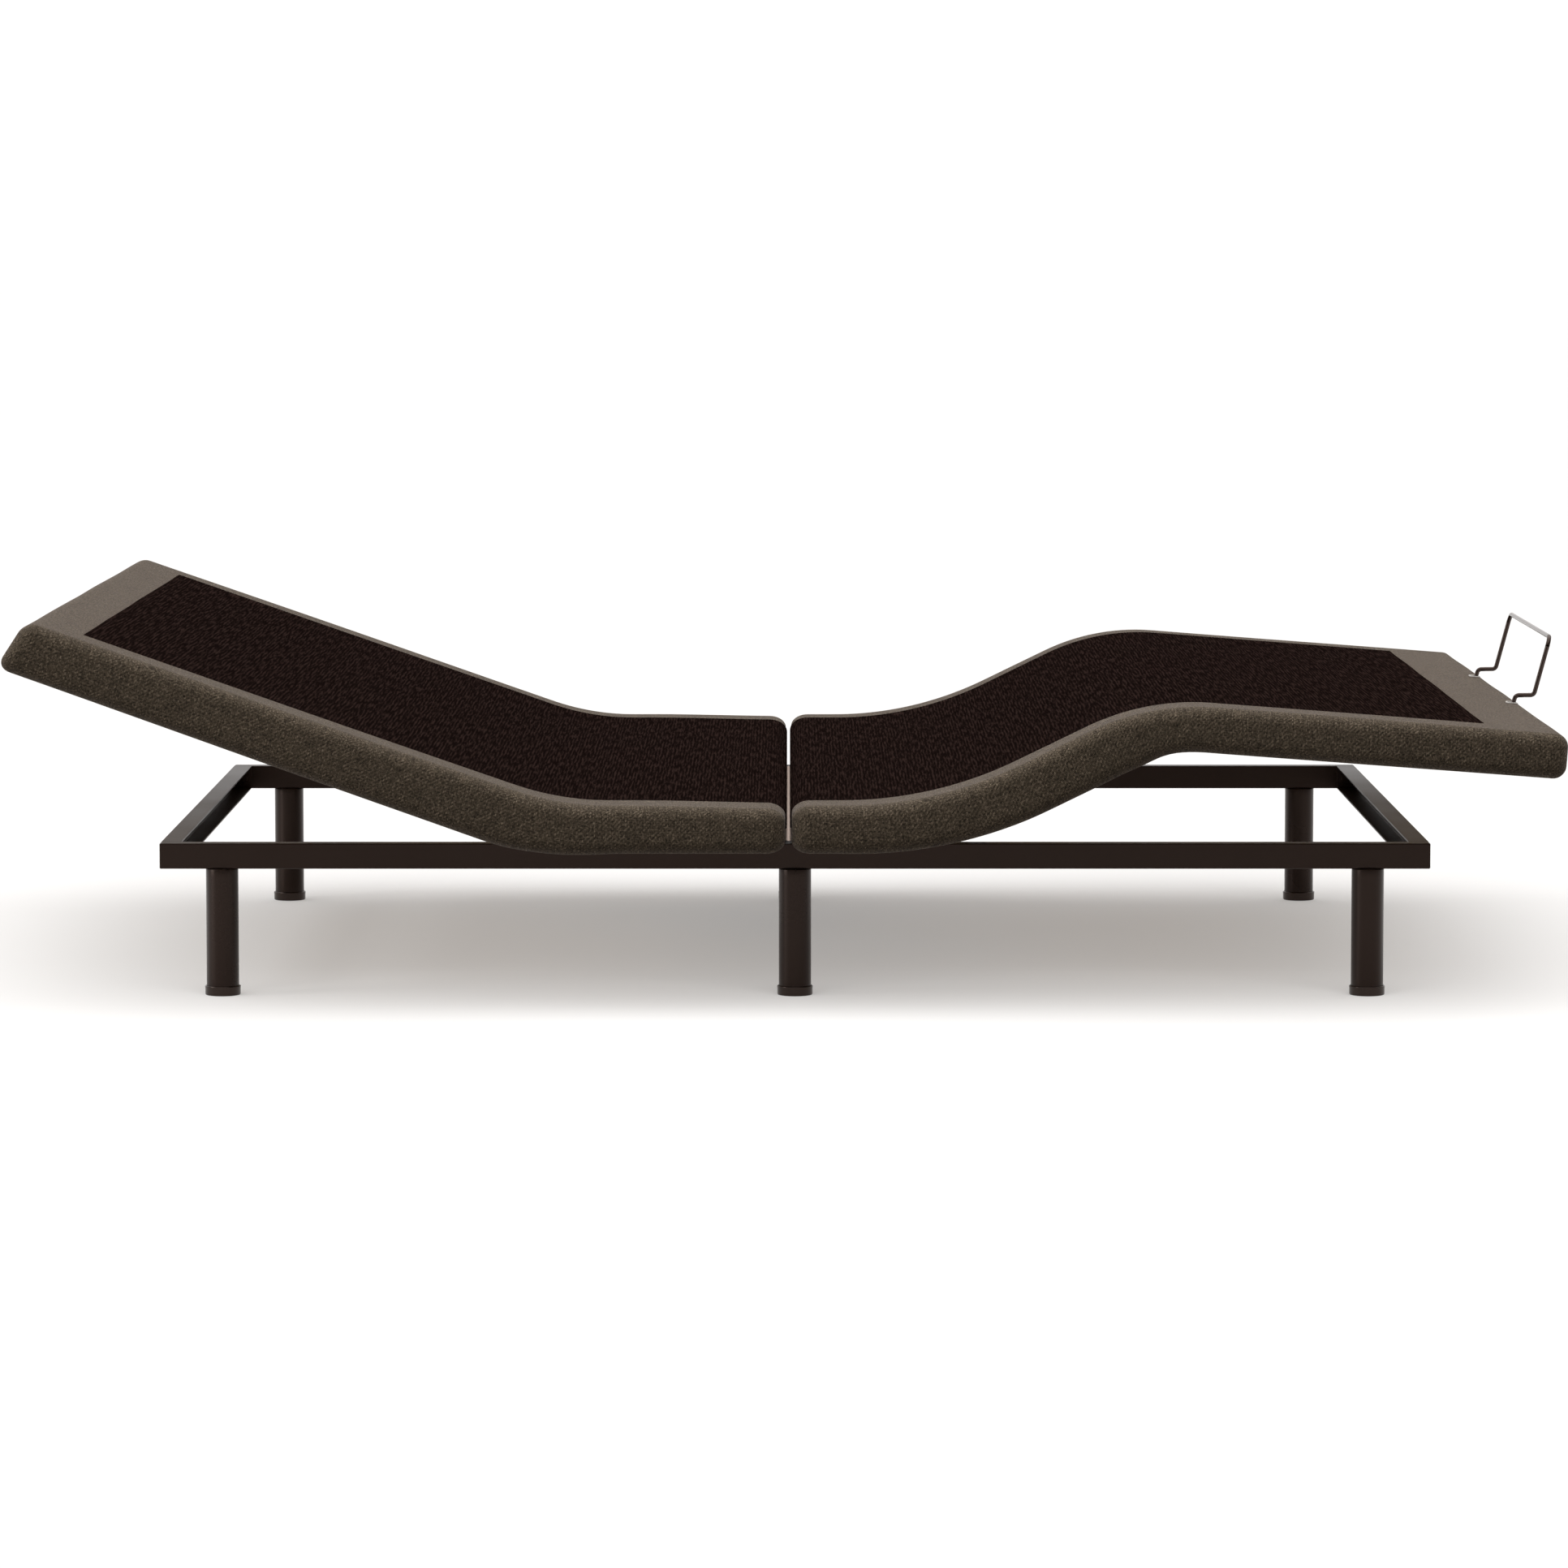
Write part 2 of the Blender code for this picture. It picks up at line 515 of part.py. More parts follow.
# --- Linear actuators ---------------------------------------------------------------------------
def actuator(prefix, mount, retracted, stroke, extension, motor_side, looks):
    """Motor, gear housing, tube, spindle and rod along the mount's +X, from its clevis pin."""
    steel, dark, zinc = looks
    length, width, height = HOUSING
    near = HOUSING_NEAR
    far = near + length
    body = box(prefix + "_gear_housing", (near, far), (-width / 2, width / 2),
               (-height / 2, height / 2), dark, mount)
    lug = prism(prefix + "_lug", arc((0, 0), LUG_RADIUS, 90, 270, 8)
                + [(near + 0.002, -LUG_RADIUS), (near + 0.002, LUG_RADIUS)],
                (-0.006, 0.006), dark, mount, tool=True)
    lug_hole = cylinder(prefix + "_lug_hole", CLEVIS_PIN_RADIUS + PIN_ROOM, (-0.02, 0.02), "Y",
                        (0, 0), None, mount, tool=True, sides=16)
    wheel_room = cylinder(prefix + "_wheel_room", 0.019, (far - 0.036, far + 0.01), "X", (0, 0), None,
                          mount, tool=True)
    cut(add(body, lug), lug_hole, wheel_room)

    side = motor_side
    start = width / 2 + GAP
    motor_x = near + length / 2
    motor = cylinder(prefix + "_motor", MOTOR_RADIUS,
                     sorted((side * start, side * (start + MOTOR_LENGTH))), "Y", (motor_x, 0), steel,
                     mount, sides=28)
    add(motor, cylinder(prefix + "_motor_cap", 0.016,
                        sorted((side * (start + MOTOR_LENGTH - 0.005),
                                side * (start + MOTOR_LENGTH + 0.010))), "Y", (motor_x, 0), steel,
                        mount, tool=True))

    tube_end = retracted - 0.024
    tube = cylinder(prefix + "_tube", TUBE_RADIUS, (far + GAP, tube_end), "X", (0, 0), zinc, mount,
                    sides=24)
    flange = cylinder(prefix + "_flange", 0.024, (far + GAP, far + 0.005), "X", (0, 0), zinc, mount,
                      tool=True, sides=24)
    cut(add(tube, flange), cylinder(prefix + "_tube_bore", ROD_RADIUS + 0.0015, (0, 1), "X", (0, 0),
                                    None, mount, tool=True, sides=24))

    spindle = cylinder(prefix + "_spindle", SPINDLE_RADIUS, (far - 0.032, tube_end - 0.012), "X",
                       (0, 0), steel, mount, sides=12)
    add(spindle, cylinder(prefix + "_wheel", 0.0175, (far - 0.022, far - 0.010), "X", (0, 0), steel,
                          mount, tool=True, sides=28))

    clevis = box(prefix + "_clevis", (-0.018, 0.018), (-0.020, 0.020),
                 (RAIL_BOTTOM - GAP - 0.004 - mount.location.z, RAIL_BOTTOM - GAP - mount.location.z),
                 steel, mount)
    plate_top = RAIL_BOTTOM - GAP - 0.001 - mount.location.z
    plate = [(-0.014, plate_top)] + arc((0, 0), LUG_RADIUS, 180, 360, 8) + [(0.014, plate_top)]
    for word, y in (("near", -0.0125), ("far", 0.0075)):
        add(clevis, prism(f"{prefix}_clevis_{word}", plate, (y, y + 0.005), steel, mount, tool=True))
    add(clevis, cylinder(prefix + "_clevis_pin", CLEVIS_PIN_RADIUS, (-0.012, 0.012), "Y", (0, 0),
                         steel, mount, tool=True, sides=16))

    tip = empty(prefix + "_rod_end", (retracted + extension, 0, 0), parent=mount)
    rod_back = -YOKE_HALF - stroke - 0.050
    rod = cylinder(prefix + "_rod", ROD_RADIUS, (rod_back, -YOKE_HALF + 0.001), "X", (0, 0), zinc,
                   tip, sides=24)
    yoke = box(prefix + "_yoke", (-YOKE_HALF, YOKE_HALF), (-0.007, 0.007), (-0.022, 0.022), zinc,
               tip, tool=True)
    slot = box(prefix + "_yoke_slot", (-PIN_RADIUS - 0.002, PIN_RADIUS + 0.002), (-0.02, 0.02),
               (-0.014, 0.014), None, tip, tool=True)
    rod_bore = cylinder(prefix + "_rod_bore", SPINDLE_RADIUS + 0.0015,
                        (rod_back - 0.01, -YOKE_HALF - 0.006), "X", (0, 0), None, tip, tool=True,
                        sides=16)
    cut(add(rod, yoke), slot, rod_bore)
    return rod


# --- Foot link -----------------------------------------------------------------------------------
def turned(point, angle):
    """The point turned about the origin from +X towards +Z."""
    c, s = math.cos(angle), math.sin(angle)
    return Vector((point[0] * c - point[1] * s, point[0] * s + point[1] * c))


def link_end(thigh_angle, offset):
    """Where the foot section's link pin is, with the thigh at this angle; X and Z."""
    knee = turned((KNEE_REACH, -KNEE_DROP), thigh_angle)
    foot_angle = thigh_angle * FOOT_ANGLE / THIGH_ANGLE
    return Vector((THIGH_PIVOT_X, PIVOT_Z)) + knee + turned(offset, -foot_angle)


def circle_centre(a, b, c):
    """The point at the same distance from three points."""
    rows = (2 * (b - a), 2 * (c - a))
    sides = (b.dot(b) - a.dot(a), c.dot(c) - a.dot(a))
    scale = rows[0].x * rows[1].y - rows[0].y * rows[1].x
    return Vector(((sides[0] * rows[1].y - sides[1] * rows[0].y) / scale,
                   (rows[0].x * sides[1] - rows[1].x * sides[0]) / scale))


def foot_link(foot, rail, y, steel):
    """The bar that keeps the foot section nearly level; its base pivot is the centre of the
    circle that the foot section's link pin runs on."""
    offset = LINK_PIN
    low, middle, high = (link_end(angle, offset) for angle in (0, math.radians(22), THIGH_MAX))
    pivot = circle_centre(low, middle, high)
    end = link_end(THIGH_ANGLE, offset)
    length = (end - pivot).length
    slope = math.atan2(end.y - pivot.y, end.x - pivot.x)
    joint = empty("foot_link_joint", (pivot.x, 0, pivot.y), -slope)
    outline = arc((0, 0), LINK_RADIUS, 90, 270, 8) + arc((length, 0), LINK_RADIUS, -90, 90, 8)
    bar = prism("foot_link", outline, (y, y + LINK_THICKNESS), steel, joint)
    cut(bar, cylinder("foot_link_base_hole", PIN_RADIUS + PIN_ROOM, (y - 0.01, y + 0.02), "Y", (0, 0),
                      None, joint, tool=True, sides=16),
        cylinder("foot_link_far_hole", PIN_RADIUS + 0.0015, (y - 0.01, y + 0.02), "Y", (length, 0),
                 None, joint, tool=True, sides=16))

    rail_face = CROSS_RAILS["cross_rail_foot_side"] + RAIL_WIDTH / 2 - 0.001
    bracket = [(rail_face, RAIL_BOTTOM + 0.004), (pivot.x, pivot.y - 0.009)]
    bracket += arc((pivot.x, pivot.y), 0.009, -70, 90, 6) + [(rail_face, RAIL_TOP - 0.004)]
    add(rail, prism("link_bracket", bracket, (y + 0.0075, y + 0.0125), steel, tool=True),
        cylinder("link_bracket_pin", PIN_RADIUS, (y - 0.001, y + 0.009), "Y", tuple(pivot), steel,
                 tool=True, sides=16))

    top = UNDER_FOOT_BOARD
    ear_plate = [(0.020, top - 0.001)] + [(offset[0] - 0.009, offset[1] + 0.002)]
    ear_plate += arc(offset, 0.009, 190, 350, 6) + [(0.060, top - 0.001)]
    hanger = box("foot_link_hanger", (0.018, 0.064), (y - 0.010, y + 0.030), (top - 0.004, top),
                 steel, foot)
    add(hanger, prism("foot_link_ear", ear_plate, (y + 0.0075, y + 0.0125), steel, foot, tool=True),
        cylinder("foot_link_pin", PIN_RADIUS, (y - 0.001, y + 0.009), "Y", offset, steel, foot,
                 tool=True, sides=16))
    return bar


# --- Electrics and trim ----------------------------------------------------------------------------
def electrics(dark, head, foot):
    box("control_box", *CONTROL_BOX, (RAIL_TOP - CONTROL_BOX_HEIGHT, RAIL_TOP), dark)
    box("power_supply", *POWER_SUPPLY, (RAIL_TOP - POWER_SUPPLY_HEIGHT, RAIL_TOP), dark)
    cylinder("head_massage_motor", MASSAGE_RADIUS, (UNDER_BOARD - HEAD_MASSAGE_HEIGHT, UNDER_BOARD),
             "Z", (HEAD_MASSAGE_X, 0), dark, head, sides=28)
    cylinder("foot_massage_motor", MASSAGE_RADIUS,
             (UNDER_FOOT_BOARD - FOOT_MASSAGE_HEIGHT, UNDER_FOOT_BOARD), "Z", (FOOT_MASSAGE_X, 0),
             dark, foot, sides=28)


def retainer(foot, steel, pad, board):
    """A bent rod that keeps the mattress from sliding off; its two feet go down into the board."""
    end = FOOT_REACH
    top = KNEE_DEPTH
    under = top - FOAM
    board_foot = end + RETAINER_FOOT
    side_view = [(board_foot, under - 0.008), (board_foot + 0.0004, under + 0.006),
                 (board_foot + 0.004, under + 0.014), (end - 0.0165, top - 0.005),
                 (end - 0.0145, top + 0.002), (end - 0.0115, top + 0.0088),
                 (end - 0.006, top + 0.0115), (end + 0.008, top + 0.0128),
                 (end + 0.0143, top + 0.018), (end + 0.0253, top + 0.084)]
    corner = (end + 0.0268, top + 0.0925)
    side = [Vector((x, -RETAINER_HALF, z)) for x, z in side_view]
    bend = [Vector((corner[0], -RETAINER_HALF + 0.010, corner[1] - 0.002)),
            Vector((corner[0], -RETAINER_HALF + 0.022, corner[1] + 0.001))]
    one = side + bend
    path = one + [Vector((p.x, -p.y, p.z)) for p in reversed(one)]
    curve = bpy.data.curves.new("mattress_retainer", "CURVE")
    curve.dimensions = "3D"
    curve.bevel_depth = RETAINER_RADIUS
    curve.bevel_resolution = 2
    curve.use_fill_caps = True
    line = curve.splines.new("POLY")
    line.points.add(len(path) - 1)
    for point, at in zip(line.points, path):
        point.co = (*at, 1)
    curve.materials.append(steel)
    bar = bpy.data.objects.new("mattress_retainer", curve)
    bpy.context.collection.objects.link(bar)
    bar.parent = foot
    room = RETAINER_RADIUS + 0.001
    openings = ((board, (board_foot - room, board_foot + room), (under - 0.020, under + 0.01)),
                (pad, (board_foot - room, end - 0.008), (under - 0.001, top + 0.01)))
    for side, word in ((-1, "front"), (1, "back")):
        y_range = sorted((side * (RETAINER_HALF - 0.005), side * (RETAINER_HALF + 0.005)))
        for body, x_range, z_range in openings:
            cut(body, box(f"{body.name}_slot_{word}", x_range, y_range, z_range, None, foot,
                          tool=True))


def main():
    for old in list(bpy.data.objects):
        bpy.data.objects.remove(old)
    steel = material("painted_steel", (0.022, 0.017, 0.014), 0.45, 0.3)
    plastic = material("black_plastic", (0.012, 0.011, 0.010), 0.35)
    fabric = material("brown_fabric", (0.045, 0.036, 0.028), 0.9)
    wood = material("plywood", (0.45, 0.30, 0.17), 0.7)
    zinc = material("zinc_plate", (0.55, 0.56, 0.58), 0.35, 0.9)

    rails = base_frame(steel, plastic)
    head = empty("head_joint", (HEAD_PIVOT_X, 0, PIVOT_Z), HEAD_ANGLE)
    thigh = empty("thigh_joint", (THIGH_PIVOT_X, 0, PIVOT_Z), -THIGH_ANGLE)
    foot = empty("foot_joint", (KNEE_REACH, 0, -KNEE_DROP), THIGH_ANGLE + FOOT_ANGLE, thigh)

    head_section(head, fabric, wood)
    thigh_section(thigh, fabric, wood)
    foot_pad, foot_board = foot_section(foot, fabric, wood)
    head_slant = FOAM * math.tan(HEAD_MAX / 2 + 0.01)
    thigh_slant = FOAM * math.tan(THIGH_MAX / 2 + 0.01)
    seat_section("seat_head", HEAD_PIVOT_X, SPLIT_HEAD_X, CROSS_RAILS["cross_rail_head_side"],
                 head_slant, fabric, wood)
    seat_section("seat_foot", THIGH_PIVOT_X, SPLIT_FOOT_X, CROSS_RAILS["cross_rail_foot_side"],
                 thigh_slant, fabric, wood)

    section_frames(head, thigh, foot, steel)
    for side, word in ((-1, "front"), (1, "back")):
        hinge_bracket("head_hinge_bracket_" + word, side, HEAD_PIVOT_X, steel)
        hinge_bracket("thigh_hinge_bracket_" + word, side, THIGH_PIVOT_X, steel)

    looks = (steel, plastic, zinc)
    head_half = HEAD_MAX / 2
    thigh_half = THIGH_MAX / 2
    head_drive_y, thigh_drive_y = 0.230, 0.020
    lever("head_lever", head, -1, head_half, head_drive_y, steel)
    lever("thigh_lever", thigh, 1, thigh_half, thigh_drive_y, steel)

    head_level = PIVOT_Z - DRIVE_ARM * (1 + math.cos(head_half)) / 2
    head_pin_x = 0.010
    head_mount = empty("head_drive", (head_pin_x, head_drive_y, head_level))
    head_mount.rotation_euler = (0, 0, math.pi)
    retracted = head_pin_x - HEAD_PIVOT_X - DRIVE_ARM * math.sin(head_half)
    stroke = 2 * DRIVE_ARM * math.sin(head_half)
    extension = DRIVE_ARM * (math.sin(head_half) - math.sin(head_half - HEAD_ANGLE))
    actuator("head_actuator", head_mount, retracted, stroke, extension, -1, looks)

    thigh_level = PIVOT_Z - DRIVE_ARM * (1 + math.cos(thigh_half)) / 2
    thigh_pin_x = -0.090
    thigh_mount = empty("thigh_drive", (thigh_pin_x, thigh_drive_y, thigh_level))
    retracted = THIGH_PIVOT_X - DRIVE_ARM * math.sin(thigh_half) - thigh_pin_x
    stroke = 2 * DRIVE_ARM * math.sin(thigh_half)
    extension = DRIVE_ARM * (math.sin(thigh_half) + math.sin(THIGH_ANGLE - thigh_half))
    actuator("thigh_actuator", thigh_mount, retracted, stroke, extension, 1, looks)

    foot_link(foot, rails["cross_rail_foot_side"], LINK_Y, steel)
    electrics(plastic, head, foot)
    retainer(foot, steel, foot_pad, foot_board)


main()
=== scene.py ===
"""The finished adjustable bed base: upholstery, metalwork and studio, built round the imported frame.

Metres. +X runs to the foot of the bed, +Y across it and +Z up, with the floor at zero.
"""
import json
import math

import bmesh
import bpy
import numpy as np
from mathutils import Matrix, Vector


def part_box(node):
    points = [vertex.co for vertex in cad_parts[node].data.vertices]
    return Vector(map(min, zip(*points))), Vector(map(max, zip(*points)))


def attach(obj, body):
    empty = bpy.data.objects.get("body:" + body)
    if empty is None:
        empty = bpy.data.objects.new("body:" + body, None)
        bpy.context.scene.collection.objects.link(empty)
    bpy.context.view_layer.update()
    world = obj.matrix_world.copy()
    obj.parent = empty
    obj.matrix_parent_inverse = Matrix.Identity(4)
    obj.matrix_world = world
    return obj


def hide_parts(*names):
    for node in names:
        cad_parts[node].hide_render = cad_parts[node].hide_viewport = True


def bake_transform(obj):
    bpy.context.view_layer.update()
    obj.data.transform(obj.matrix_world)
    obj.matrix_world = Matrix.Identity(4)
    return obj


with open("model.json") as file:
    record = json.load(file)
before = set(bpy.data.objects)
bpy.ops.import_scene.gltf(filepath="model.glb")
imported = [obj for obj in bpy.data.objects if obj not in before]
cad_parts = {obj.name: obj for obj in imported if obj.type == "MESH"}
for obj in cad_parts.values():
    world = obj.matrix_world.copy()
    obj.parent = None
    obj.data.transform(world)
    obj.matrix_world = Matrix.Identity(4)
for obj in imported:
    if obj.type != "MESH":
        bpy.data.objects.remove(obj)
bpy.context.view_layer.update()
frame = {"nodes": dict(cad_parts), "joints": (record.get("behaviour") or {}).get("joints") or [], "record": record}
PIVOTS = {joint["name"]: joint.get("pos_m") for joint in frame["joints"]}

# --- The deck's design values ---------------------------------------------------------------
HEAD_SLOPE = math.radians(19.2)
THIGH_SLOPE = math.radians(26.0)
FOOT_SLOPE = math.radians(4.4)
HEAD_LENGTH = 0.716
FOOT_LENGTH = 0.534
FOAM = 0.030                       # foam above the boards
KNEE_DEPTH = 0.050                 # knee pivot below the deck's top
SKIRT = 0.0195                     # thickness of the padded sides
ROLL = 0.017                       # rounding of the padded edges
SPLIT_ROLL = 0.024                 # the same along the bed, at the split
SIDE_BORDER = 0.089                # fabric border round the sleeping panel
HEAD_BORDER = 0.068
FOOT_BORDER = 0.097
FOOT_FULLNESS = 0.0025             # padding that stands past the deck's foot end
SPLIT_EASE = 0.001                 # and what the cloth is drawn back by at the split
PANEL_LIFT = 0.0014                # the panel's cloth above the border's
PANEL_REACH = 0.036                # how far the panel runs down into the split
HEAD_BEND = 0.370                  # radii of the deck's bends
THIGH_BEND = 0.505
KNEE_BEND = 0.310
HEAD_END_SLANT = 0.25              # outward lean of the head end, per metre of depth
HEAD_DROOP = 0.003                 # how far the head half's top sinks towards the split
SHARP = math.radians(50)           # edges past this angle are shaded as edges

# --- The studio's values ----------------------------------------------------------------------
FRONT_LIGHT = 0.10                 # the surround's light from before and behind the bed
BACK_LIGHT = 1.0
BACKDROP = 1.2                     # the surround as the camera sees it
FLOOR_GLOW = 0.28                  # lifts the shadow on the pale floor
FLOOR_SIZE = 60.0
SUN = 2.9                          # the overhead sun's strength
SPLIT_KEY = 2.0
SOFTBOX = 100.0                    # lamp powers in watts
FLOOR_FILL = 240.0
CAMERA_PLACE = (-0.0082, -9.2174, 1.0435)
CAMERA_PITCH = 0.0888              # how far the camera looks down
CAMERA_LENS = 153.38
CAMERA_SHIFT = -0.00296

# --- Places read from the frame ---------------------------------------------------------------
HALF_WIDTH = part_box("seat_head_pad")[1].y
RETAINER_RADIUS = 0.003
RETAINER_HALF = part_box("mattress_retainer")[1].y - RETAINER_RADIUS
SEAT_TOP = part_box("seat_head_pad")[1].z
SPLIT_HEAD_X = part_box("seat_head_pad")[1].x
SPLIT_FOOT_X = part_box("seat_foot_pad")[0].x


def direction(slope):
    """The unit vector (x, z) along a slope."""
    return np.array([math.cos(slope), math.sin(slope)])


HEAD_VERTEX = np.array([PIVOTS["head_hinge"][0] + FOAM * math.tan(HEAD_SLOPE / 2), SEAT_TOP])
THIGH_VERTEX = np.array([PIVOTS["thigh_hinge"][0] - FOAM * math.tan(THIGH_SLOPE / 2), SEAT_TOP])
KNEE_TURN = THIGH_SLOPE + FOOT_SLOPE
KNEE_NORMAL = direction((THIGH_SLOPE - FOOT_SLOPE) / 2 + math.pi / 2)
KNEE_PIVOT = np.array(PIVOTS["foot_hinge"])[[0, 2]]
KNEE_VERTEX = (KNEE_PIVOT
               + KNEE_NORMAL * KNEE_DEPTH / math.cos(KNEE_TURN / 2))
HEAD_END = HEAD_VERTEX + HEAD_LENGTH * direction(math.pi - HEAD_SLOPE)
FOOT_END = KNEE_VERTEX + FOOT_LENGTH * direction(-FOOT_SLOPE)


# --- Lines and surfaces -----------------------------------------------------------------------
class DeckLine:
    """The deck's top seen from the side: straight stretches joined by arcs.

    Each piece of the line is kept as its starting distance, place, slope and curvature. A point
    at distance t along a piece of curvature k and slope a is the integral of the unit tangent,
    (sin(a + kt) - sin a) / k forward and (cos a - cos(a + kt)) / k up.
    """

    def __init__(self, corners, radii):
        corners = [np.asarray(c, float) for c in corners]
        slopes = [math.atan2(*(b - a)[::-1]) for a, b in zip(corners, corners[1:])]
        turns = [b - a for a, b in zip(slopes, slopes[1:])]
        trims = [0.0] + [r * math.tan(abs(t) / 2) for r, t in zip(radii, turns)] + [0.0]
        self.start, self.place, self.slope, self.bend = [0.0], [corners[0]], [], []
        self.arcs = []
        for i, slope in enumerate(slopes):
            run = np.linalg.norm(corners[i + 1] - corners[i]) - trims[i] - trims[i + 1]
            self._piece(slope, 0.0, run)
            if i < len(turns):
                self.arcs.append((self.start[-1], self.start[-1] + radii[i] * abs(turns[i])))
                self._piece(slope, math.copysign(1 / radii[i], turns[i]),
                            radii[i] * abs(turns[i]))
        self.length = self.start.pop()
        self.place.pop()

    def _piece(self, slope, bend, run):
        self.slope.append(slope)
        self.bend.append(bend)
        self.place.append(self.place[-1] + self._step(slope, bend, np.array([run]))[0])
        self.start.append(self.start[-1] + run)

    @staticmethod
    def _step(slope, bend, t):
        slope, bend = np.broadcast_to(slope, t.shape), np.broadcast_to(bend, t.shape)
        k = np.where(bend == 0, 1.0, bend)
        forward = np.where(bend == 0, t * np.cos(slope), (np.sin(slope + k * t) - np.sin(slope)) / k)
        up = np.where(bend == 0, t * np.sin(slope), (np.cos(slope) - np.cos(slope + k * t)) / k)
        return np.stack([forward, up], -1)

    def at(self, s):
        """Places (x, z) and upward normals of the line at the distances s; it runs on straight
        past its ends."""
        i = np.clip(np.searchsorted(self.start, s, side="right") - 1, 0, len(self.start) - 1)
        t = s - np.array(self.start)[i]
        slope, bend = np.array(self.slope)[i], np.array(self.bend)[i]
        place = np.array(self.place)[i] + self._step(slope, bend, t)
        angle = slope + bend * t
        return place, np.stack([-np.sin(angle), np.cos(angle)], -1)


def smooth(t):
    """0 to 1 with level ends: three t squared less two t cubed, t held between 0 and 1."""
    t = np.clip(t, 0, 1)
    return t * t * (3 - 2 * t)


def mesh_object(name, points, faces, uv=None, material=None):
    """A smooth-shaded mesh at the origin from arrays of points and of four-cornered faces."""
    mesh = bpy.data.meshes.new(name)
    mesh.from_pydata(points.tolist(), [], faces.tolist())
    if uv is not None:
        layer = mesh.uv_layers.new(name="cloth")
        layer.data.foreach_set("uv", uv.reshape(-1).astype(np.float32))
    welded = bmesh.new()
    welded.from_mesh(mesh)
    bmesh.ops.remove_doubles(welded, verts=welded.verts, dist=2e-6)
    bmesh.ops.dissolve_degenerate(welded, edges=welded.edges, dist=2e-6)
    for edge in welded.edges:
        edge.smooth = not edge.is_boundary and edge.calc_face_angle(0) < SHARP
    welded.to_mesh(mesh)
    welded.free()
    mesh.polygons.foreach_set("use_smooth", np.ones(len(mesh.polygons), bool))
    made = bpy.data.objects.new(name, mesh)
    bpy.context.scene.collection.objects.link(made)
    if material:
        mesh.materials.append(material)
    return made


def quads(number):
    """The faces of a grid of point numbers, each going round in the order of the grid's axes."""
    return np.stack([number[:-1, :-1], number[1:, :-1], number[1:, 1:], number[:-1, 1:]],
                    -1).reshape(-1, 4)


def turned(name, profile, centre, material, sides=72):
    """A turned piece: each (radius, height) of the profile goes round an upright axis in a circle,
    and the first and last points lie on the axis, so that the piece is closed."""
    profile = np.array(profile, float)
    angles = np.linspace(0, 2 * math.pi, sides, endpoint=False)
    ring = np.stack([np.cos(angles), np.sin(angles)], -1)
    flat = profile[:, 0, None, None] * ring
    height = np.broadcast_to(profile[:, 1, None, None], flat[..., :1].shape)
    points = np.concatenate([flat, height], -1)
    points = points.reshape(-1, 3) + np.array(centre)
    number = np.arange(len(points)).reshape(len(profile), sides)
    number = np.concatenate([number, number[:, :1]], 1)
    return mesh_object(name, points, quads(number.T), material=material)


def swept(name, path, first, radius, material, sides=20):
    """A round bar: a circle carried along the path on two directions square to it, the first one
    given and the second their cross product. The ends are closed by circles drawn to a point."""
    along = np.gradient(path, axis=0)
    along /= np.linalg.norm(along, axis=1, keepdims=True)
    second = np.cross(along, first)
    angles = np.linspace(0, 2 * math.pi, sides, endpoint=False)
    ring = (np.cos(angles)[None, :, None] * first[:, None]
            + np.sin(angles)[None, :, None] * second[:, None])
    points = path[:, None] + radius * ring
    caps = [np.repeat(path[[i]][:, None], sides, 1) for i in (0, -1)]
    points = np.concatenate([caps[0], points, caps[1]])
    number = np.arange(points.shape[0] * sides).reshape(-1, sides)
    number = np.concatenate([number, number[:, :1]], 1)
    return mesh_object(name, points.reshape(-1, 3), quads(number), material=material)


# --- Upholstery -------------------------------------------------------------------------------
ROLL_ANGLES = np.linspace(0, math.pi / 4, 6)
EDGE_STEPS = np.array([0, 0.0008, 0.0018, 0.0035, 0.0065, 0.011])


def spaced(low, high, step, roll_low, roll_high):
    """Stations from low to high: even ones, and tangents of even angles inside rolled ends."""
    inner_low, inner_high = low + roll_low, high - roll_high
    count = int(round((inner_high - inner_low) / step)) + 1
    parts = [np.linspace(inner_low, inner_high, count)]
    if roll_low:
        parts.insert(0, (inner_low - roll_low * np.tan(ROLL_ANGLES))[:0:-1])
    if roll_high:
        parts.append((inner_high + roll_high * np.tan(ROLL_ANGLES))[1:])
    return np.concatenate(parts)


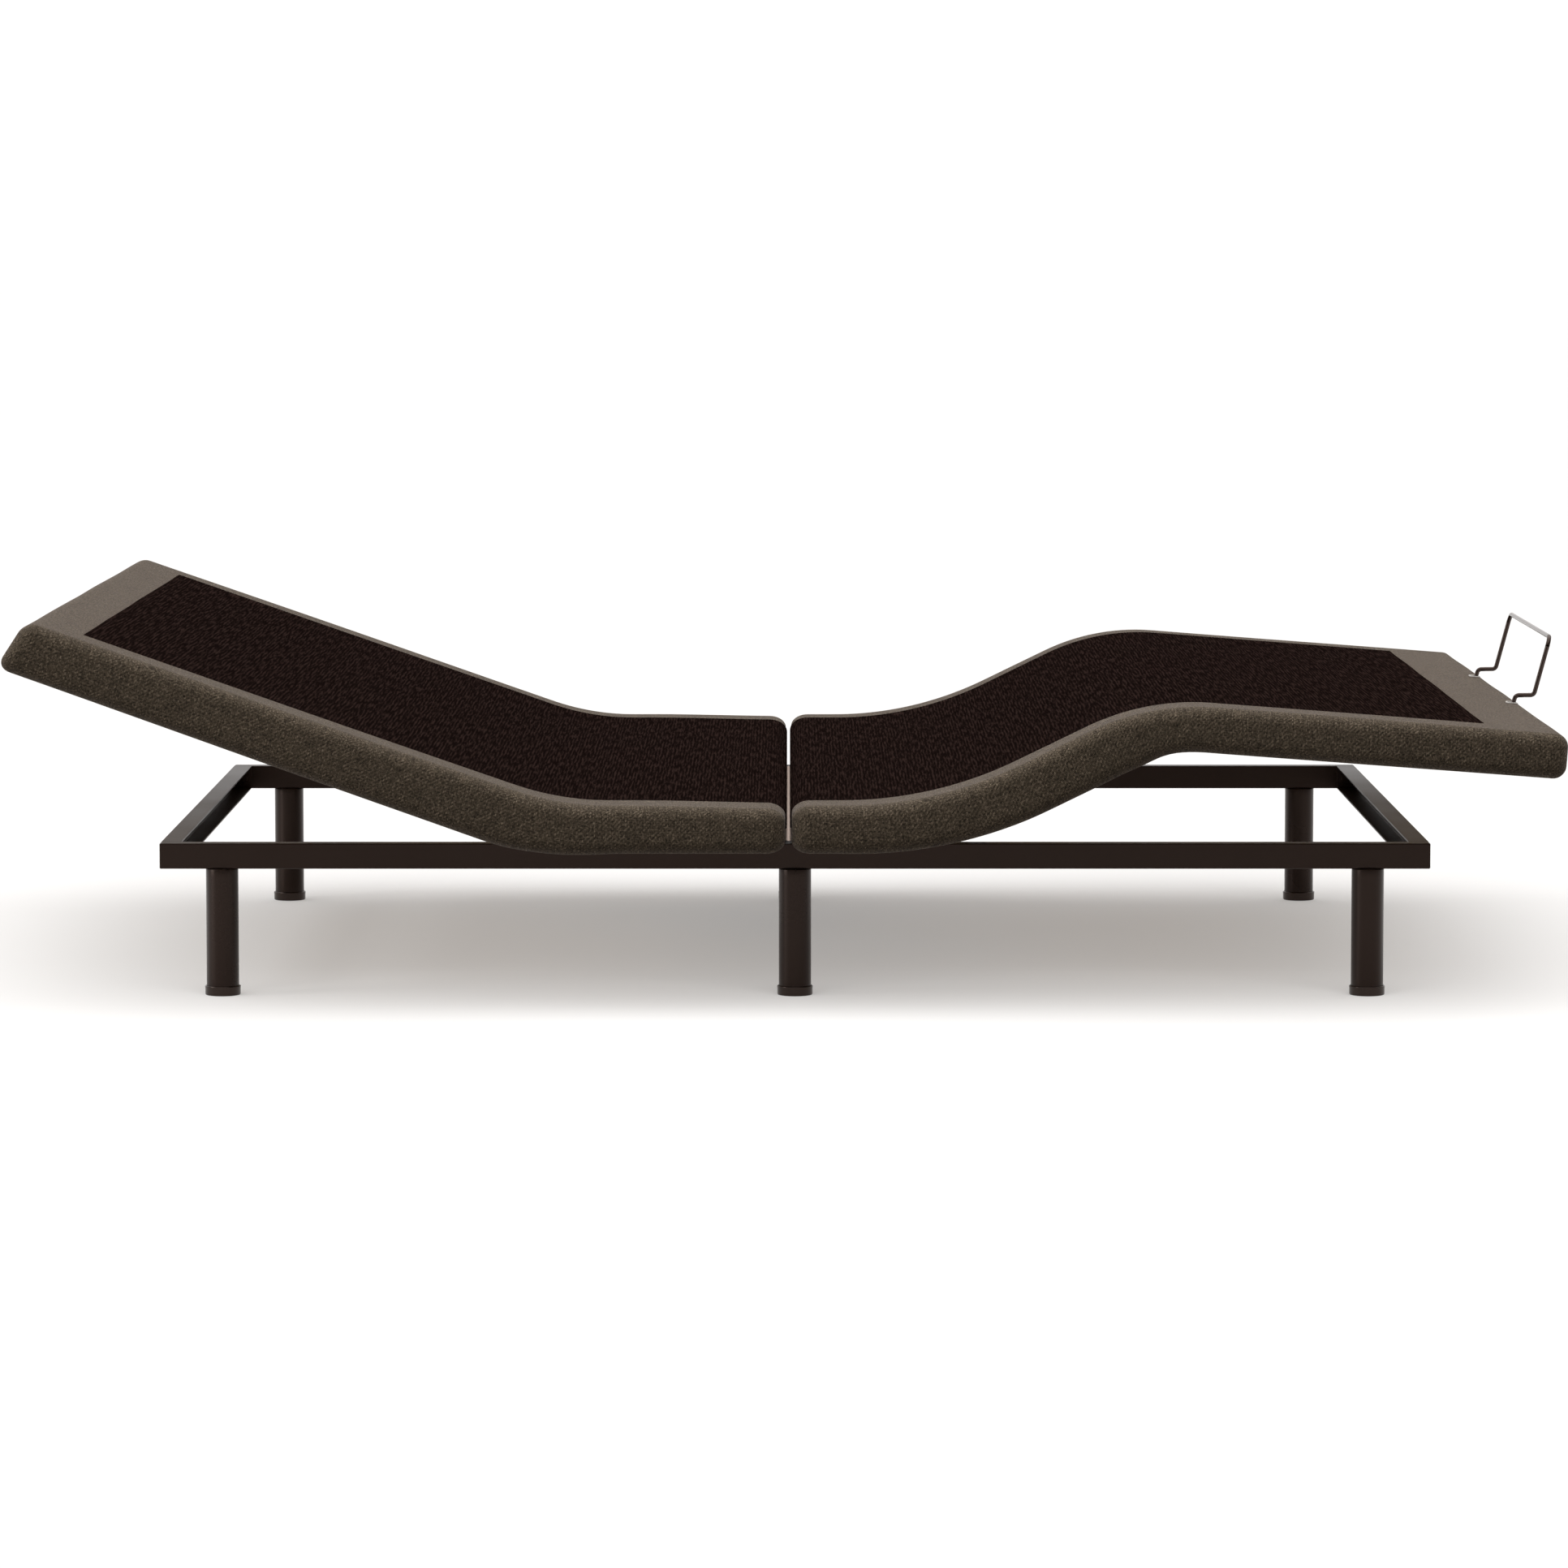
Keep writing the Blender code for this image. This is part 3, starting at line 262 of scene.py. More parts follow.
class DeckHalf:
    """One half of the deck: its line, how deep it is along the line, and its shape's details.

    lean is how far an end slopes out for each metre of depth; droop lowers the top near the
    split."""

    def __init__(self, line, depths, lean=0.0, droop=None):
        self.line = line
        self.depths = depths
        self.lean = lean
        self.droop = droop

    def depth(self, s):
        """Depths between the stations, each softened by averaging over the cloth next to it."""
        stations, depths = zip(*self.depths)
        fine = np.linspace(stations[0] - 0.1, stations[-1] + 0.1, 400)
        weights = np.hanning(25)
        rough = np.pad(np.interp(fine, stations, depths), 12, "edge")
        return np.interp(s, fine, np.convolve(rough, weights / weights.sum(), "valid"))

    def skin(self, s, y, down, core, lift=0.0):
        """Points of the padded skin. (s, y, down) lies on a box. Each point is drawn back to the
        nearest point of a box smaller by the rounding, pushed out again by the rounding and the
        lift, and bent along the deck's line. At the split the rounding is stretched along the
        bed."""
        depth = self.depth(s)
        core_low, core_high, roll_low, roll_high = core
        core_s = np.clip(s, core_low, core_high)
        stretch = np.where(s < core_low, roll_low, np.where(s > core_high, roll_high, ROLL)) / ROLL
        core_y = np.clip(y, -HALF_WIDTH + ROLL, HALF_WIDTH - ROLL)
        core_down = np.clip(down, ROLL, depth - ROLL)
        out = np.stack([(s - core_s) / stretch, y - core_y, down - core_down], -1)
        out /= np.maximum(np.linalg.norm(out, axis=-1, keepdims=True), 1e-9)
        out *= np.expand_dims(ROLL + lift, -1) if np.ndim(lift) else ROLL + lift
        return self.bent(core_s + stretch * out[..., 0], core_y + out[..., 1],
                         core_down + out[..., 2])

    def bent(self, s, y, down):
        """Places (s, y, depth under the top) laid along the deck's line. The padding is a little
        uneven: slow waves on the top and a slight belly on the sides."""
        s = s - down * self.lean * smooth((0.08 - s) / 0.08)
        place, normal = self.line.at(s)
        wave = 0.0006 * np.sin(9 * s + 2.1 * np.sin(5 * y)) * np.sin(7.3 * y + 1.3)
        if self.droop:
            wave = wave - self.droop(s)
        height = wave * (1 - smooth(down / 0.05)) - down
        belly = np.sign(y) * 0.0014 * smooth((np.abs(y) - HALF_WIDTH + 0.05) / 0.05)
        belly = belly * np.sin(np.pi * np.clip(down / 0.06, 0, 1)) * (1 + 0.35 * np.sin(19 * s))
        return np.stack([place[..., 0] + height * normal[..., 0], y + belly,
                         place[..., 1] + height * normal[..., 1]], -1)


def core_of(low, high, roll_low, roll_high):
    """The stretch between the rolled ends, and the rolls; it runs on past an end without one."""
    return (low + roll_low if roll_low else low - 1, high - roll_high if roll_high else high + 1,
            roll_low, roll_high)


def padded_cover(name, half, low, high, roll_low, roll_high, material):
    """The skin of a padded tray, from a box's surface lattice (along, across, down): rounded at
    its edges, and with the middle of its underside pushed up to the foam."""
    inner = HALF_WIDTH - SKIRT
    lip = 0.0008
    along = [spaced(low, high, 0.010, roll_low, roll_high)]
    if roll_low:
        along.append([low + SKIRT, low + SKIRT + lip])
    if roll_high:
        along.append([high - SKIRT - lip, high - SKIRT])
    along = np.sort(np.concatenate(along))
    across = np.sort(np.concatenate([spaced(-HALF_WIDTH, HALF_WIDTH, 0.012, ROLL, ROLL),
                                     [-inner, lip - inner, inner - lip, inner]]))
    top = ROLL * (1 - np.tan(ROLL_ANGLES[::-1]))
    shares = np.linspace(0, 1, 6)[1:-1]
    offset = np.concatenate([top, np.full(len(shares), ROLL), 2 * ROLL - top[::-1]])
    share = np.concatenate([np.zeros(len(top)), shares, np.ones(len(top))])

    size = (len(along), len(across), len(offset))
    shell = np.zeros(size, bool)
    shell[[0, -1]] = shell[:, [0, -1]] = shell[:, :, [0, -1]] = True
    number = np.full(size, -1)
    number[shell] = np.arange(shell.sum())
    i, j, k = np.nonzero(shell)
    s, y = along[i], across[j]
    down = offset[k] + share[k] * (half.depth(s) - 2 * ROLL)
    points = half.skin(s, y, down, core_of(low, high, roll_low, roll_high))

    hollow = (np.abs(y) < inner - lip / 2) & ((k == size[2] - 1) | (down > FOAM))
    on_end = (i == 0) | (i == size[0] - 1)
    hollow &= (k == size[2] - 1) | on_end
    if roll_low:
        hollow &= s > low + SKIRT + lip / 2
    if roll_high:
        hollow &= s < high - SKIRT - lip / 2
    points[hollow] = half.bent(s[hollow], y[hollow], np.full(hollow.sum(), FOAM))

    place = np.stack([s, y, down], -1)
    faces, uv = [], []
    for grid, outward, axes in ((number[:, :, 0], True, (0, 1)), (number[:, :, -1], False, (0, 1)),
                                (number[:, 0], False, (0, 2)), (number[:, -1], True, (0, 2)),
                                (number[0], True, (2, 1)), (number[-1], False, (2, 1))):
        side = quads(grid) if outward else quads(grid)[:, ::-1]
        faces.append(side)
        uv.append(place[side][..., list(axes)])
    return mesh_object(name, points, np.concatenate(faces), np.concatenate(uv), material)


def panel_end(kind, edge, outward):
    """The last stations of a panel towards one end, as (distance along, depth): sewn into the
    border, joined to the next panel, or carried over the rolled end and down it."""
    if kind == "sewn":
        along = edge - outward * EDGE_STEPS[::-1]
        return along, np.zeros(len(along))
    if kind == "joined":
        return np.array([edge]), np.zeros(1)
    over = edge - outward * (SPLIT_ROLL - SPLIT_ROLL * np.tan(ROLL_ANGLES))
    fall = np.concatenate([ROLL * (1 - np.tan(ROLL_ANGLES[::-1]))[1:],
                           np.linspace(ROLL, PANEL_REACH, 5)[1:]])
    return (np.concatenate([over, np.full(len(fall), edge)]),
            np.concatenate([np.zeros(len(over)), fall]))


def sleeping_panel(name, half, low, high, kind_low, kind_high, material):
    """The panel's cloth: a grid laid on the deck's skin. It stands a little proud of it and dips
    under the border where it is sewn, as one less a falling exponential of the distance."""
    low_s, low_down = panel_end(kind_low, low, -1)
    high_s, high_down = panel_end(kind_high, high, 1)
    start, stop = low_s[0], high_s[0]
    middle = np.linspace(start, stop, int((stop - start) / 0.008) + 1)[1:-1]
    s = np.concatenate([low_s[::-1], middle, high_s])
    down = np.concatenate([low_down[::-1], np.zeros(len(middle)), high_down])
    edge = HALF_WIDTH - SIDE_BORDER
    y = np.concatenate([-edge + EDGE_STEPS, np.linspace(EDGE_STEPS[-1] - edge,
                                                        edge - EDGE_STEPS[-1], 130)[1:-1],
                        edge - EDGE_STEPS[::-1]])
    s, y = np.meshgrid(s, y, indexing="ij")
    down = np.broadcast_to(down[:, None], s.shape)
    near = edge - np.abs(y)            # distance from the panel's sewn edges
    if kind_low == "sewn":
        near = np.minimum(near, s - low)
    if kind_high == "sewn":
        near = np.minimum(near, high - s)
    lift = PANEL_LIFT * (1 - 1.5 * np.exp(-np.maximum(near, 0) / 0.0025))
    core = core_of(low, high, SPLIT_ROLL if kind_low == "over" else 0.0,
                   SPLIT_ROLL if kind_high == "over" else 0.0)
    points = half.skin(s, y, down, core, lift)
    number = np.arange(s.size).reshape(s.shape)
    length = s + np.where(s > (low + high) / 2, down, -down)
    uv = np.stack([length, y], -1).reshape(-1, 2)
    faces = quads(number)
    made = mesh_object(name, points.reshape(-1, 3), faces, uv[faces], material)
    wall = made.modifiers.new("cloth thickness", "SOLIDIFY")
    wall.thickness = 0.0012
    wall.offset = -1
    return made


# --- Materials --------------------------------------------------------------------------------
class Nodes:
    """Short calls for laying out a node tree."""

    def __init__(self, tree):
        self.tree = tree
        self.column = 0

    def add(self, kind, inputs=None, **settings):
        node = self.tree.nodes.new("ShaderNode" + kind)
        self.column += 1
        node.location = (self.column * 180, 0)
        for name, value in settings.items():
            setattr(node, name, value)
        for name, value in (inputs or {}).items():
            if isinstance(value, bpy.types.NodeSocket):
                self.tree.links.new(value, node.inputs[name])
            else:
                node.inputs[name].default_value = value
        return node

    def math(self, operation, a, b=0.0):
        return self.add("Math", {0: a, 1: b}, operation=operation).outputs[0]

    def noise(self, vector, scale, detail=2.0, roughness=0.5):
        return self.add("TexNoise", {"Vector": vector, "Scale": scale, "Detail": detail,
                                     "Roughness": roughness}).outputs["Fac"]

    def stretch(self, vector, scale):
        return self.add("Mapping", {"Vector": vector, "Scale": scale}).outputs["Vector"]

    def mix(self, factor, a, b):
        node = self.add("Mix", {0: factor}, data_type="RGBA")
        for socket, value in ((node.inputs[6], a), (node.inputs[7], b)):
            if isinstance(value, bpy.types.NodeSocket):
                self.tree.links.new(value, socket)
            else:
                socket.default_value = value
        return node.outputs[2]

    def range(self, value, from_low, from_high, to_low=0.0, to_high=1.0):
        return self.add("MapRange", {"Value": value, "From Min": from_low, "From Max": from_high,
                                     "To Min": to_low, "To Max": to_high}).outputs["Result"]


def shader_group(name, inputs, outputs):
    """A node group; inputs are (name, kind, first value) and outputs (name, kind)."""
    group = bpy.data.node_groups.new(name, "ShaderNodeTree")
    for label, kind, value in inputs:
        socket = group.interface.new_socket(label, in_out="INPUT", socket_type="NodeSocket" + kind)
        if value is not None:
            socket.default_value = value
    for label, kind in outputs:
        group.interface.new_socket(label, in_out="OUTPUT", socket_type="NodeSocket" + kind)
    return group, Nodes(group), group.nodes.new("NodeGroupInput"), group.nodes.new("NodeGroupOutput")


def place_group(nodes, group, inputs):
    """Places a group in a material and gives its outputs."""
    node = nodes.tree.nodes.new("ShaderNodeGroup")
    node.node_tree = group
    for name, value in inputs.items():
        if isinstance(value, bpy.types.NodeSocket):
            nodes.tree.links.new(value, node.inputs[name])
        else:
            node.inputs[name].default_value = value
    return node.outputs


def twill_group():
    """Threads crossing two over and two under. Each thread's top is half a sine wave; the crossing
    pattern is the remainder of the two thread numbers' sum over four."""
    group, nodes, given, made = shader_group(
        "twill weave", [("Vector", "Vector", None), ("Thread", "Float", 0.0012)],
        [("Height", "Float"), ("Tone", "Float"), ("Over", "Float")])
    scale = nodes.math("DIVIDE", 1.0, given.outputs["Thread"])
    threads = nodes.add("VectorMath", {0: given.outputs["Vector"]}, operation="SCALE")
    group.links.new(scale, threads.inputs["Scale"])
    split = nodes.add("SeparateXYZ", {"Vector": threads.outputs["Vector"]})
    u, v = split.outputs["X"], split.outputs["Y"]
    crossing = nodes.math("ADD", nodes.math("FLOOR", u), nodes.math("FLOOR", v))
    over = nodes.math("LESS_THAN", nodes.math("FLOORED_MODULO", crossing, 4.0), 2.0)
    warp = nodes.math("ABSOLUTE", nodes.math("SINE", nodes.math("MULTIPLY", u, math.pi)))
    weft = nodes.math("ABSOLUTE", nodes.math("SINE", nodes.math("MULTIPLY", v, math.pi)))
    warp_tone = nodes.noise(nodes.stretch(threads.outputs["Vector"], (1.0, 0.10, 1.0)), 0.9, 3.0, 0.7)
    weft_tone = nodes.noise(nodes.stretch(threads.outputs["Vector"], (0.10, 1.0, 1.0)), 0.9, 3.0, 0.7)
    heights = nodes.add("Mix", {0: over, 2: weft, 3: warp})
    tones = nodes.add("Mix", {0: over, 2: weft_tone, 3: warp_tone})
    group.links.new(heights.outputs[0], made.inputs["Height"])
    group.links.new(tones.outputs[0], made.inputs["Tone"])
    group.links.new(over, made.inputs["Over"])
    return group


def coated_skin_group():
    """Slow and fine unevenness of a coated surface: a mask for tone and a height for its skin."""
    group, nodes, given, made = shader_group(
        "coated skin", [("Vector", "Vector", None), ("Grain", "Float", 900.0)],
        [("Mottle", "Float"), ("Skin", "Float")])
    mottle = nodes.noise(given.outputs["Vector"], 7.0, 5.0, 0.62)
    skin = nodes.add("TexNoise", {"Vector": given.outputs["Vector"],
                                  "Scale": given.outputs["Grain"], "Detail": 2.0})
    group.links.new(mottle, made.inputs["Mottle"])
    group.links.new(skin.outputs["Fac"], made.inputs["Skin"])
    return group


def new_material(name, **constants):
    """A material with its Principled shader; constants go straight to the shader's sockets."""
    made = bpy.data.materials.new(name)
    made.use_nodes = True
    shader = made.node_tree.nodes["Principled BSDF"]
    shader.location = (3600, 0)
    made.node_tree.nodes["Material Output"].location = (3900, 0)
    for label, value in constants.items():
        shader.inputs[label.replace("_", " ")].default_value = value
    return made, Nodes(made.node_tree), shader


def bump(nodes, shader, height, strength, distance):
    """Turns a height into the shader's surface relief."""
    node = nodes.add("Bump", {"Height": height, "Strength": strength, "Distance": distance})
    nodes.tree.links.new(node.outputs["Normal"], shader.inputs["Normal"])


def cloth_coordinates(nodes):
    """Metres along and across the cloth."""
    return nodes.add("UVMap", uv_map="cloth").outputs["UV"]


def heather_fabric(name, twill, dark, mid, light):
    """Brown heather twill: yarns of three tones, slubs a few millimetres long, soft clouds, a
    darker weft that shows the diagonal, and shade between the threads. The twill's threads are
    1.5 mm wide."""
    made, nodes, shader = new_material(name, Roughness=0.9, Specular_IOR_Level=0.12,
                                       Sheen_Weight=0.14, Sheen_Roughness=0.3,
                                       Sheen_Tint=(0.95, 0.86, 0.92, 1))
    place = cloth_coordinates(nodes)
    weave = place_group(nodes, twill, {"Vector": place, "Thread": 0.0015})
    slub = nodes.noise(nodes.stretch(place, (330.0, 290.0, 1.0)), 1.0, 3.0, 0.75)
    cloud = nodes.noise(place, 34.0, 4.0, 0.65)
    tone = nodes.math("ADD", nodes.math("MULTIPLY", weave["Tone"], 0.55),
                      nodes.math("MULTIPLY", slub, 0.45))
    low = nodes.range(tone, 0.40, 0.50)
    high = nodes.range(tone, 0.51, 0.62)
    colour = nodes.mix(high, nodes.mix(low, (*dark, 1), (*mid, 1)), (*light, 1))
    shade = nodes.math("MULTIPLY", nodes.range(weave["Height"], 0.0, 0.7, 0.5, 1.0),
                       nodes.range(cloud, 0.3, 0.7, 0.86, 1.14))
    shade = nodes.math("MULTIPLY", shade, nodes.range(weave["Over"], 0.0, 1.0, 0.80, 1.18))
    colour = nodes.add("VectorMath", {0: colour, "Scale": shade}, operation="SCALE").outputs["Vector"]
    nodes.tree.links.new(colour, shader.inputs["Base Color"])
    height = nodes.math("ADD", weave["Height"], nodes.math("MULTIPLY", slub, 0.8))
    bump(nodes, shader, height, 0.6, 0.0005)
    return made


def ribbed_panel_fabric(name):
    """Dark non-slip cloth: ribs across the bed, a sine wave of the distance along it, broken by
    flecks that are noise drawn out along the ribs."""
    made, nodes, shader = new_material(name, Roughness=1.0, Specular_IOR_Level=0.0)
    place = cloth_coordinates(nodes)
    wander = nodes.noise(nodes.stretch(place, (60.0, 22.0, 1.0)), 1.0, 2.0)
    split = nodes.add("SeparateXYZ", {"Vector": place})
    along = nodes.math("ADD", nodes.math("MULTIPLY", split.outputs["X"], 2 * math.pi / 0.0042),
                       nodes.math("MULTIPLY", wander, 6.0))
    rib = nodes.range(nodes.math("SINE", along), -1.0, 1.0)
    fleck = nodes.noise(nodes.stretch(place, (310.0, 15.0, 1.0)), 1.0, 3.0, 0.7)
    mask = nodes.range(nodes.math("ADD", nodes.math("MULTIPLY", fleck, 0.9),
                                  nodes.math("MULTIPLY", rib, 0.1)), 0.47, 0.61)
    cloud = nodes.noise(place, 9.0, 3.0, 0.6)
    ground = nodes.mix(cloud, (0.0046, 0.0025, 0.0021, 1), (0.0066, 0.0039, 0.0034, 1))
    colour = nodes.mix(mask, ground, (0.0225, 0.0134, 0.0114, 1))
    nodes.tree.links.new(colour, shader.inputs["Base Color"])
    bump(nodes, shader, nodes.math("ADD", nodes.math("MULTIPLY", rib, 0.6), fleck), 0.8, 0.0006)
    return made


def coated_metal(name, skin_group, colour, roughness, grain=700.0, specular=0.27):
    """Powder coat: a fine pebbled skin, slow change of tone and gloss, and paler faces that point up: partly dust,
    partly a painted highlight for the light along the tops.
    """
    made, nodes, shader = new_material(name, Specular_IOR_Level=specular,
                                       Specular_Tint=(1.0, 0.74, 0.64, 1))
    place = nodes.add("TexCoord").outputs["Object"]
    skin = place_group(nodes, skin_group, {"Vector": place, "Grain": grain})
    base = nodes.mix(skin["Mottle"], tuple(0.86 * c for c in colour) + (1,),
                     tuple(1.14 * c for c in colour) + (1,))
    up = nodes.add("SeparateXYZ", {"Vector": nodes.add("NewGeometry").outputs["Normal"]})
    # paler where the normal points up: partly dust, partly a painted highlight standing in for the lit tops of the
    # rails
    dust_and_painted_highlight = nodes.math("MULTIPLY", nodes.range(up.outputs["Z"], 0.6, 1.0, 0.0, 0.16),
                      nodes.range(skin["Mottle"], 0.35, 0.65, 0.5, 1.0))
    colour = nodes.mix(dust_and_painted_highlight, base, (0.14, 0.11, 0.10, 1))
    nodes.tree.links.new(colour, shader.inputs["Base Color"])
    gloss = nodes.range(skin["Mottle"], 0.3, 0.7, roughness - 0.02, roughness + 0.03)
    nodes.tree.links.new(gloss, shader.inputs["Roughness"])
    bump(nodes, shader, skin["Skin"], 0.4, 0.00004)
    return made


def plywood(name):
    """Sheet wood: grain from noise drawn out along the bed, and darker pores."""
    made, nodes, shader = new_material(name, Roughness=0.62)
    place = nodes.add("TexCoord").outputs["Object"]
    grain = nodes.noise(nodes.stretch(place, (3.0, 46.0, 46.0)), 1.0, 6.0, 0.65)
    pores = nodes.noise(nodes.stretch(place, (30.0, 700.0, 700.0)), 1.0, 2.0)
    colour = nodes.mix(nodes.range(grain, 0.3, 0.7), (0.36, 0.23, 0.12, 1), (0.55, 0.39, 0.22, 1))
    colour = nodes.mix(nodes.range(pores, 0.58, 0.72, 0.0, 0.5), colour, (0.16, 0.09, 0.045, 1))
    nodes.tree.links.new(colour, shader.inputs["Base Color"])
    bump(nodes, shader, nodes.math("ADD", grain, pores), 0.3, 0.0002)
    return made


def zinc_plate(name):
    """Drawn and plated tube: fine scratches along and round it, with cloudy plating."""
    made, nodes, shader = new_material(name, Metallic=1.0)
    place = nodes.add("TexCoord").outputs["Object"]
    cloud = nodes.noise(place, 22.0, 4.0, 0.6)
    scratch = nodes.noise(nodes.stretch(place, (14.0, 900.0, 900.0)), 1.0, 3.0)
    colour = nodes.mix(cloud, (0.46, 0.47, 0.49, 1), (0.66, 0.66, 0.65, 1))
    nodes.tree.links.new(colour, shader.inputs["Base Color"])
    nodes.tree.links.new(nodes.range(scratch, 0.3, 0.7, 0.22, 0.42), shader.inputs["Roughness"])
    bump(nodes, shader, scratch, 0.2, 0.00005)
    return made


def felt(name, dark, light):
    """Pressed wool felt or thick thread: short fibres as fine noise over soft clouds."""
    made, nodes, shader = new_material(name, Roughness=1.0, Specular_IOR_Level=0.1)
    place = nodes.add("TexCoord").outputs["Object"]
    fibre = nodes.noise(nodes.stretch(place, (900.0, 350.0, 900.0)), 1.0, 4.0, 0.7)
    cloud = nodes.noise(place, 30.0, 2.0)
    colour = nodes.mix(fibre, (*dark, 1), (*light, 1))
    colour = nodes.mix(nodes.range(cloud, 0.3, 0.7, 0.0, 0.3), colour, (*dark, 1))
    nodes.tree.links.new(colour, shader.inputs["Base Color"])
    bump(nodes, shader, fibre, 0.5, 0.0004)
    return made


# --- Metalwork --------------------------------------------------------------------------------
def soften(node, width):
    """Rounds a piece's edges; each flat face keeps its own normal, and round ones are smooth."""
    node.data.polygons.foreach_set("use_smooth", np.ones(len(node.data.polygons), bool))
    weld = node.modifiers.new("join faces", "WELD")
    weld.merge_threshold = 0.00001
    bevel = node.modifiers.new("rounded edges", "BEVEL")
    bevel.width = width
    bevel.segments = 2
    bevel.limit_method = "ANGLE"
    bevel.angle_limit = math.radians(35)
    normals = node.modifiers.new("face normals", "WEIGHTED_NORMAL")
    normals.weight = 100


def arc_profile(centre, radius, start, end, steps=6):
    """Points (radius, height) round an arc; angles in degrees."""
    angles = np.radians(np.linspace(start, end, steps))
    return [(centre[0] + radius * math.cos(a), centre[1] + radius * math.sin(a)) for a in angles]


def leg(node, material):
    """A drawn tube with a rounded shoulder under the rail and its lower end inside the cap."""
    low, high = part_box(node)
    centre = (low + high) / 2
    radius = (high.x - low.x) / 2
    stud, stud_radius, edge = 0.018, 0.005, 0.0012
    top = high.z - stud
    profile = [(0, low.z)] + arc_profile((radius - edge, low.z + edge), edge, -90, 0)
    profile += [(radius, z) for z in np.linspace(low.z + 0.02, top - 0.01, 8)]
    profile += arc_profile((radius - edge, top - edge), edge, 0, 90)
    profile += [(stud_radius, top), (stud_radius, high.z), (0, high.z)]
    made = turned(node.replace("leg", "round_leg"), profile, (centre.x, centre.y, 0), material)
    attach(made, "base")
    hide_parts(node)


def foot_cap(node, material):
    """A moulded cup: rounded sole, straight wall and a rounded rim that clasps the leg."""
    low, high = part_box(node)
    centre = (low + high) / 2
    radius = (high.x - low.x) / 2
    wall, inside = radius - 0.0003, radius - 0.0019
    sole, lip, floor = 0.0018, 0.0012, 0.0026
    profile = [(0, 0.0), (wall - 1.4 * sole, 0.0)]
    profile += arc_profile((wall - sole, sole), sole, -80, 0)
    profile += [(wall, z) for z in (0.0035, 0.006, 0.0085)]
    profile += arc_profile((radius - lip, high.z - lip), lip, 0, 120, 9)
    profile += [(inside, high.z - lip), (inside, floor + 0.001), (inside - 0.001, floor), (0, floor)]
    made = turned(node.replace("foot_cap", "leg_cap"), profile, (centre.x, centre.y, 0), material)
    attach(made, "base")
    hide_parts(node)


def painted_highlight_rail_felt(material):
    """A thin felt strip along the top of the centre cross rail, under the split: a flat outline with round sides,
    carried across the bed and drawn to a point at its ends. Its pale colour is a painted highlight that stands in
    for the light seen through the split."""
    low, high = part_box("cross_rail_centre")
    middle, half, thick = (low.x + high.x) / 2, 0.010, 0.0008
    angles = np.linspace(0, 2 * math.pi, 24, endpoint=False)
    out = np.stack([np.cos(angles), np.sin(angles)], -1)
    outline = np.sign(out) * np.abs(out) ** 0.4 * [half, thick / 2]
    y = np.linspace(low.y + 0.004, high.y - 0.004, 60)
    grow = np.ones(len(y))
    grow[[0, -1]] = 0
    points = np.empty((len(y), len(angles), 3))
    points[..., 0] = middle + outline[:, 0] * grow[:, None]
    points[..., 1] = y[:, None]
    points[..., 2] = high.z + 0.0001 + thick / 2 + outline[:, 1] * grow[:, None]
    number = np.arange(points.size // 3).reshape(len(y), len(angles))
    number = np.concatenate([number, number[:, :1]], 1)
    made = mesh_object("centre_rail_felt", points.reshape(-1, 3), quads(number.T),
                       material=material)
    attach(made, "base")


def retainer_bar(material):
    """The mattress retainer, bent from one rod: up out of the deck, out over its end, and up a
    leaning arm to the bar across. Its corners are given along and above the foot section."""
    half = RETAINER_HALF
    along, up = direction(-FOOT_SLOPE), direction(math.pi / 2 - FOOT_SLOPE)
    end = np.dot(FOOT_END - KNEE_PIVOT, along)
    top = KNEE_DEPTH
    corners = [(end - 0.0300, top - 0.038), (end - 0.0295, top - 0.0185),
               (end - 0.0155, top - 0.0040), (end - 0.0125, top + 0.0108),
               (end + 0.0120, top + 0.0130), (end + 0.0268, top + 0.0925)]
    corners = [KNEE_PIVOT + along * a + up * b for a, b in corners]
    side = DeckLine(corners, [0.005, 0.006, 0.006, 0.006])
    s = np.linspace(0, side.length, 110)
    place, normal = side.at(s)
    lean = place[-1] - place[-2]
    lean /= np.linalg.norm(lean)
    bend = 0.013
    arm = np.stack([place[:, 0], np.full(len(s), -half), place[:, 1]], -1)[:-8]
    arm_first = np.stack([normal[:, 0], np.zeros(len(s)), normal[:, 1]], -1)[:-8]
    angles = np.linspace(0, math.pi / 2, 14)[:, None]
    peak = np.array([corners[-1][0], -half, corners[-1][1]])
    up3 = np.array([lean[0], 0, lean[1]])
    across = np.array([0, 1.0, 0])
    corner = peak - up3 * bend + across * bend + bend * (up3 * np.sin(angles)
                                                         - across * np.cos(angles))
    bar = peak + across * np.linspace(bend, half, 20)[1:, None]
    left = np.concatenate([arm, corner, bar])
    turn = np.array([arm_first[-1]])
    first = np.concatenate([arm_first, np.repeat(turn, len(corner) + len(bar), 0)])
    path = np.concatenate([left, (left * [1, -1, 1])[::-1][1:]])
    first = np.concatenate([first, first[::-1][1:]])
    made = swept("mattress_retainer_bar", path, first, RETAINER_RADIUS, material)
    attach(made, "foot")
    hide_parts("mattress_retainer")


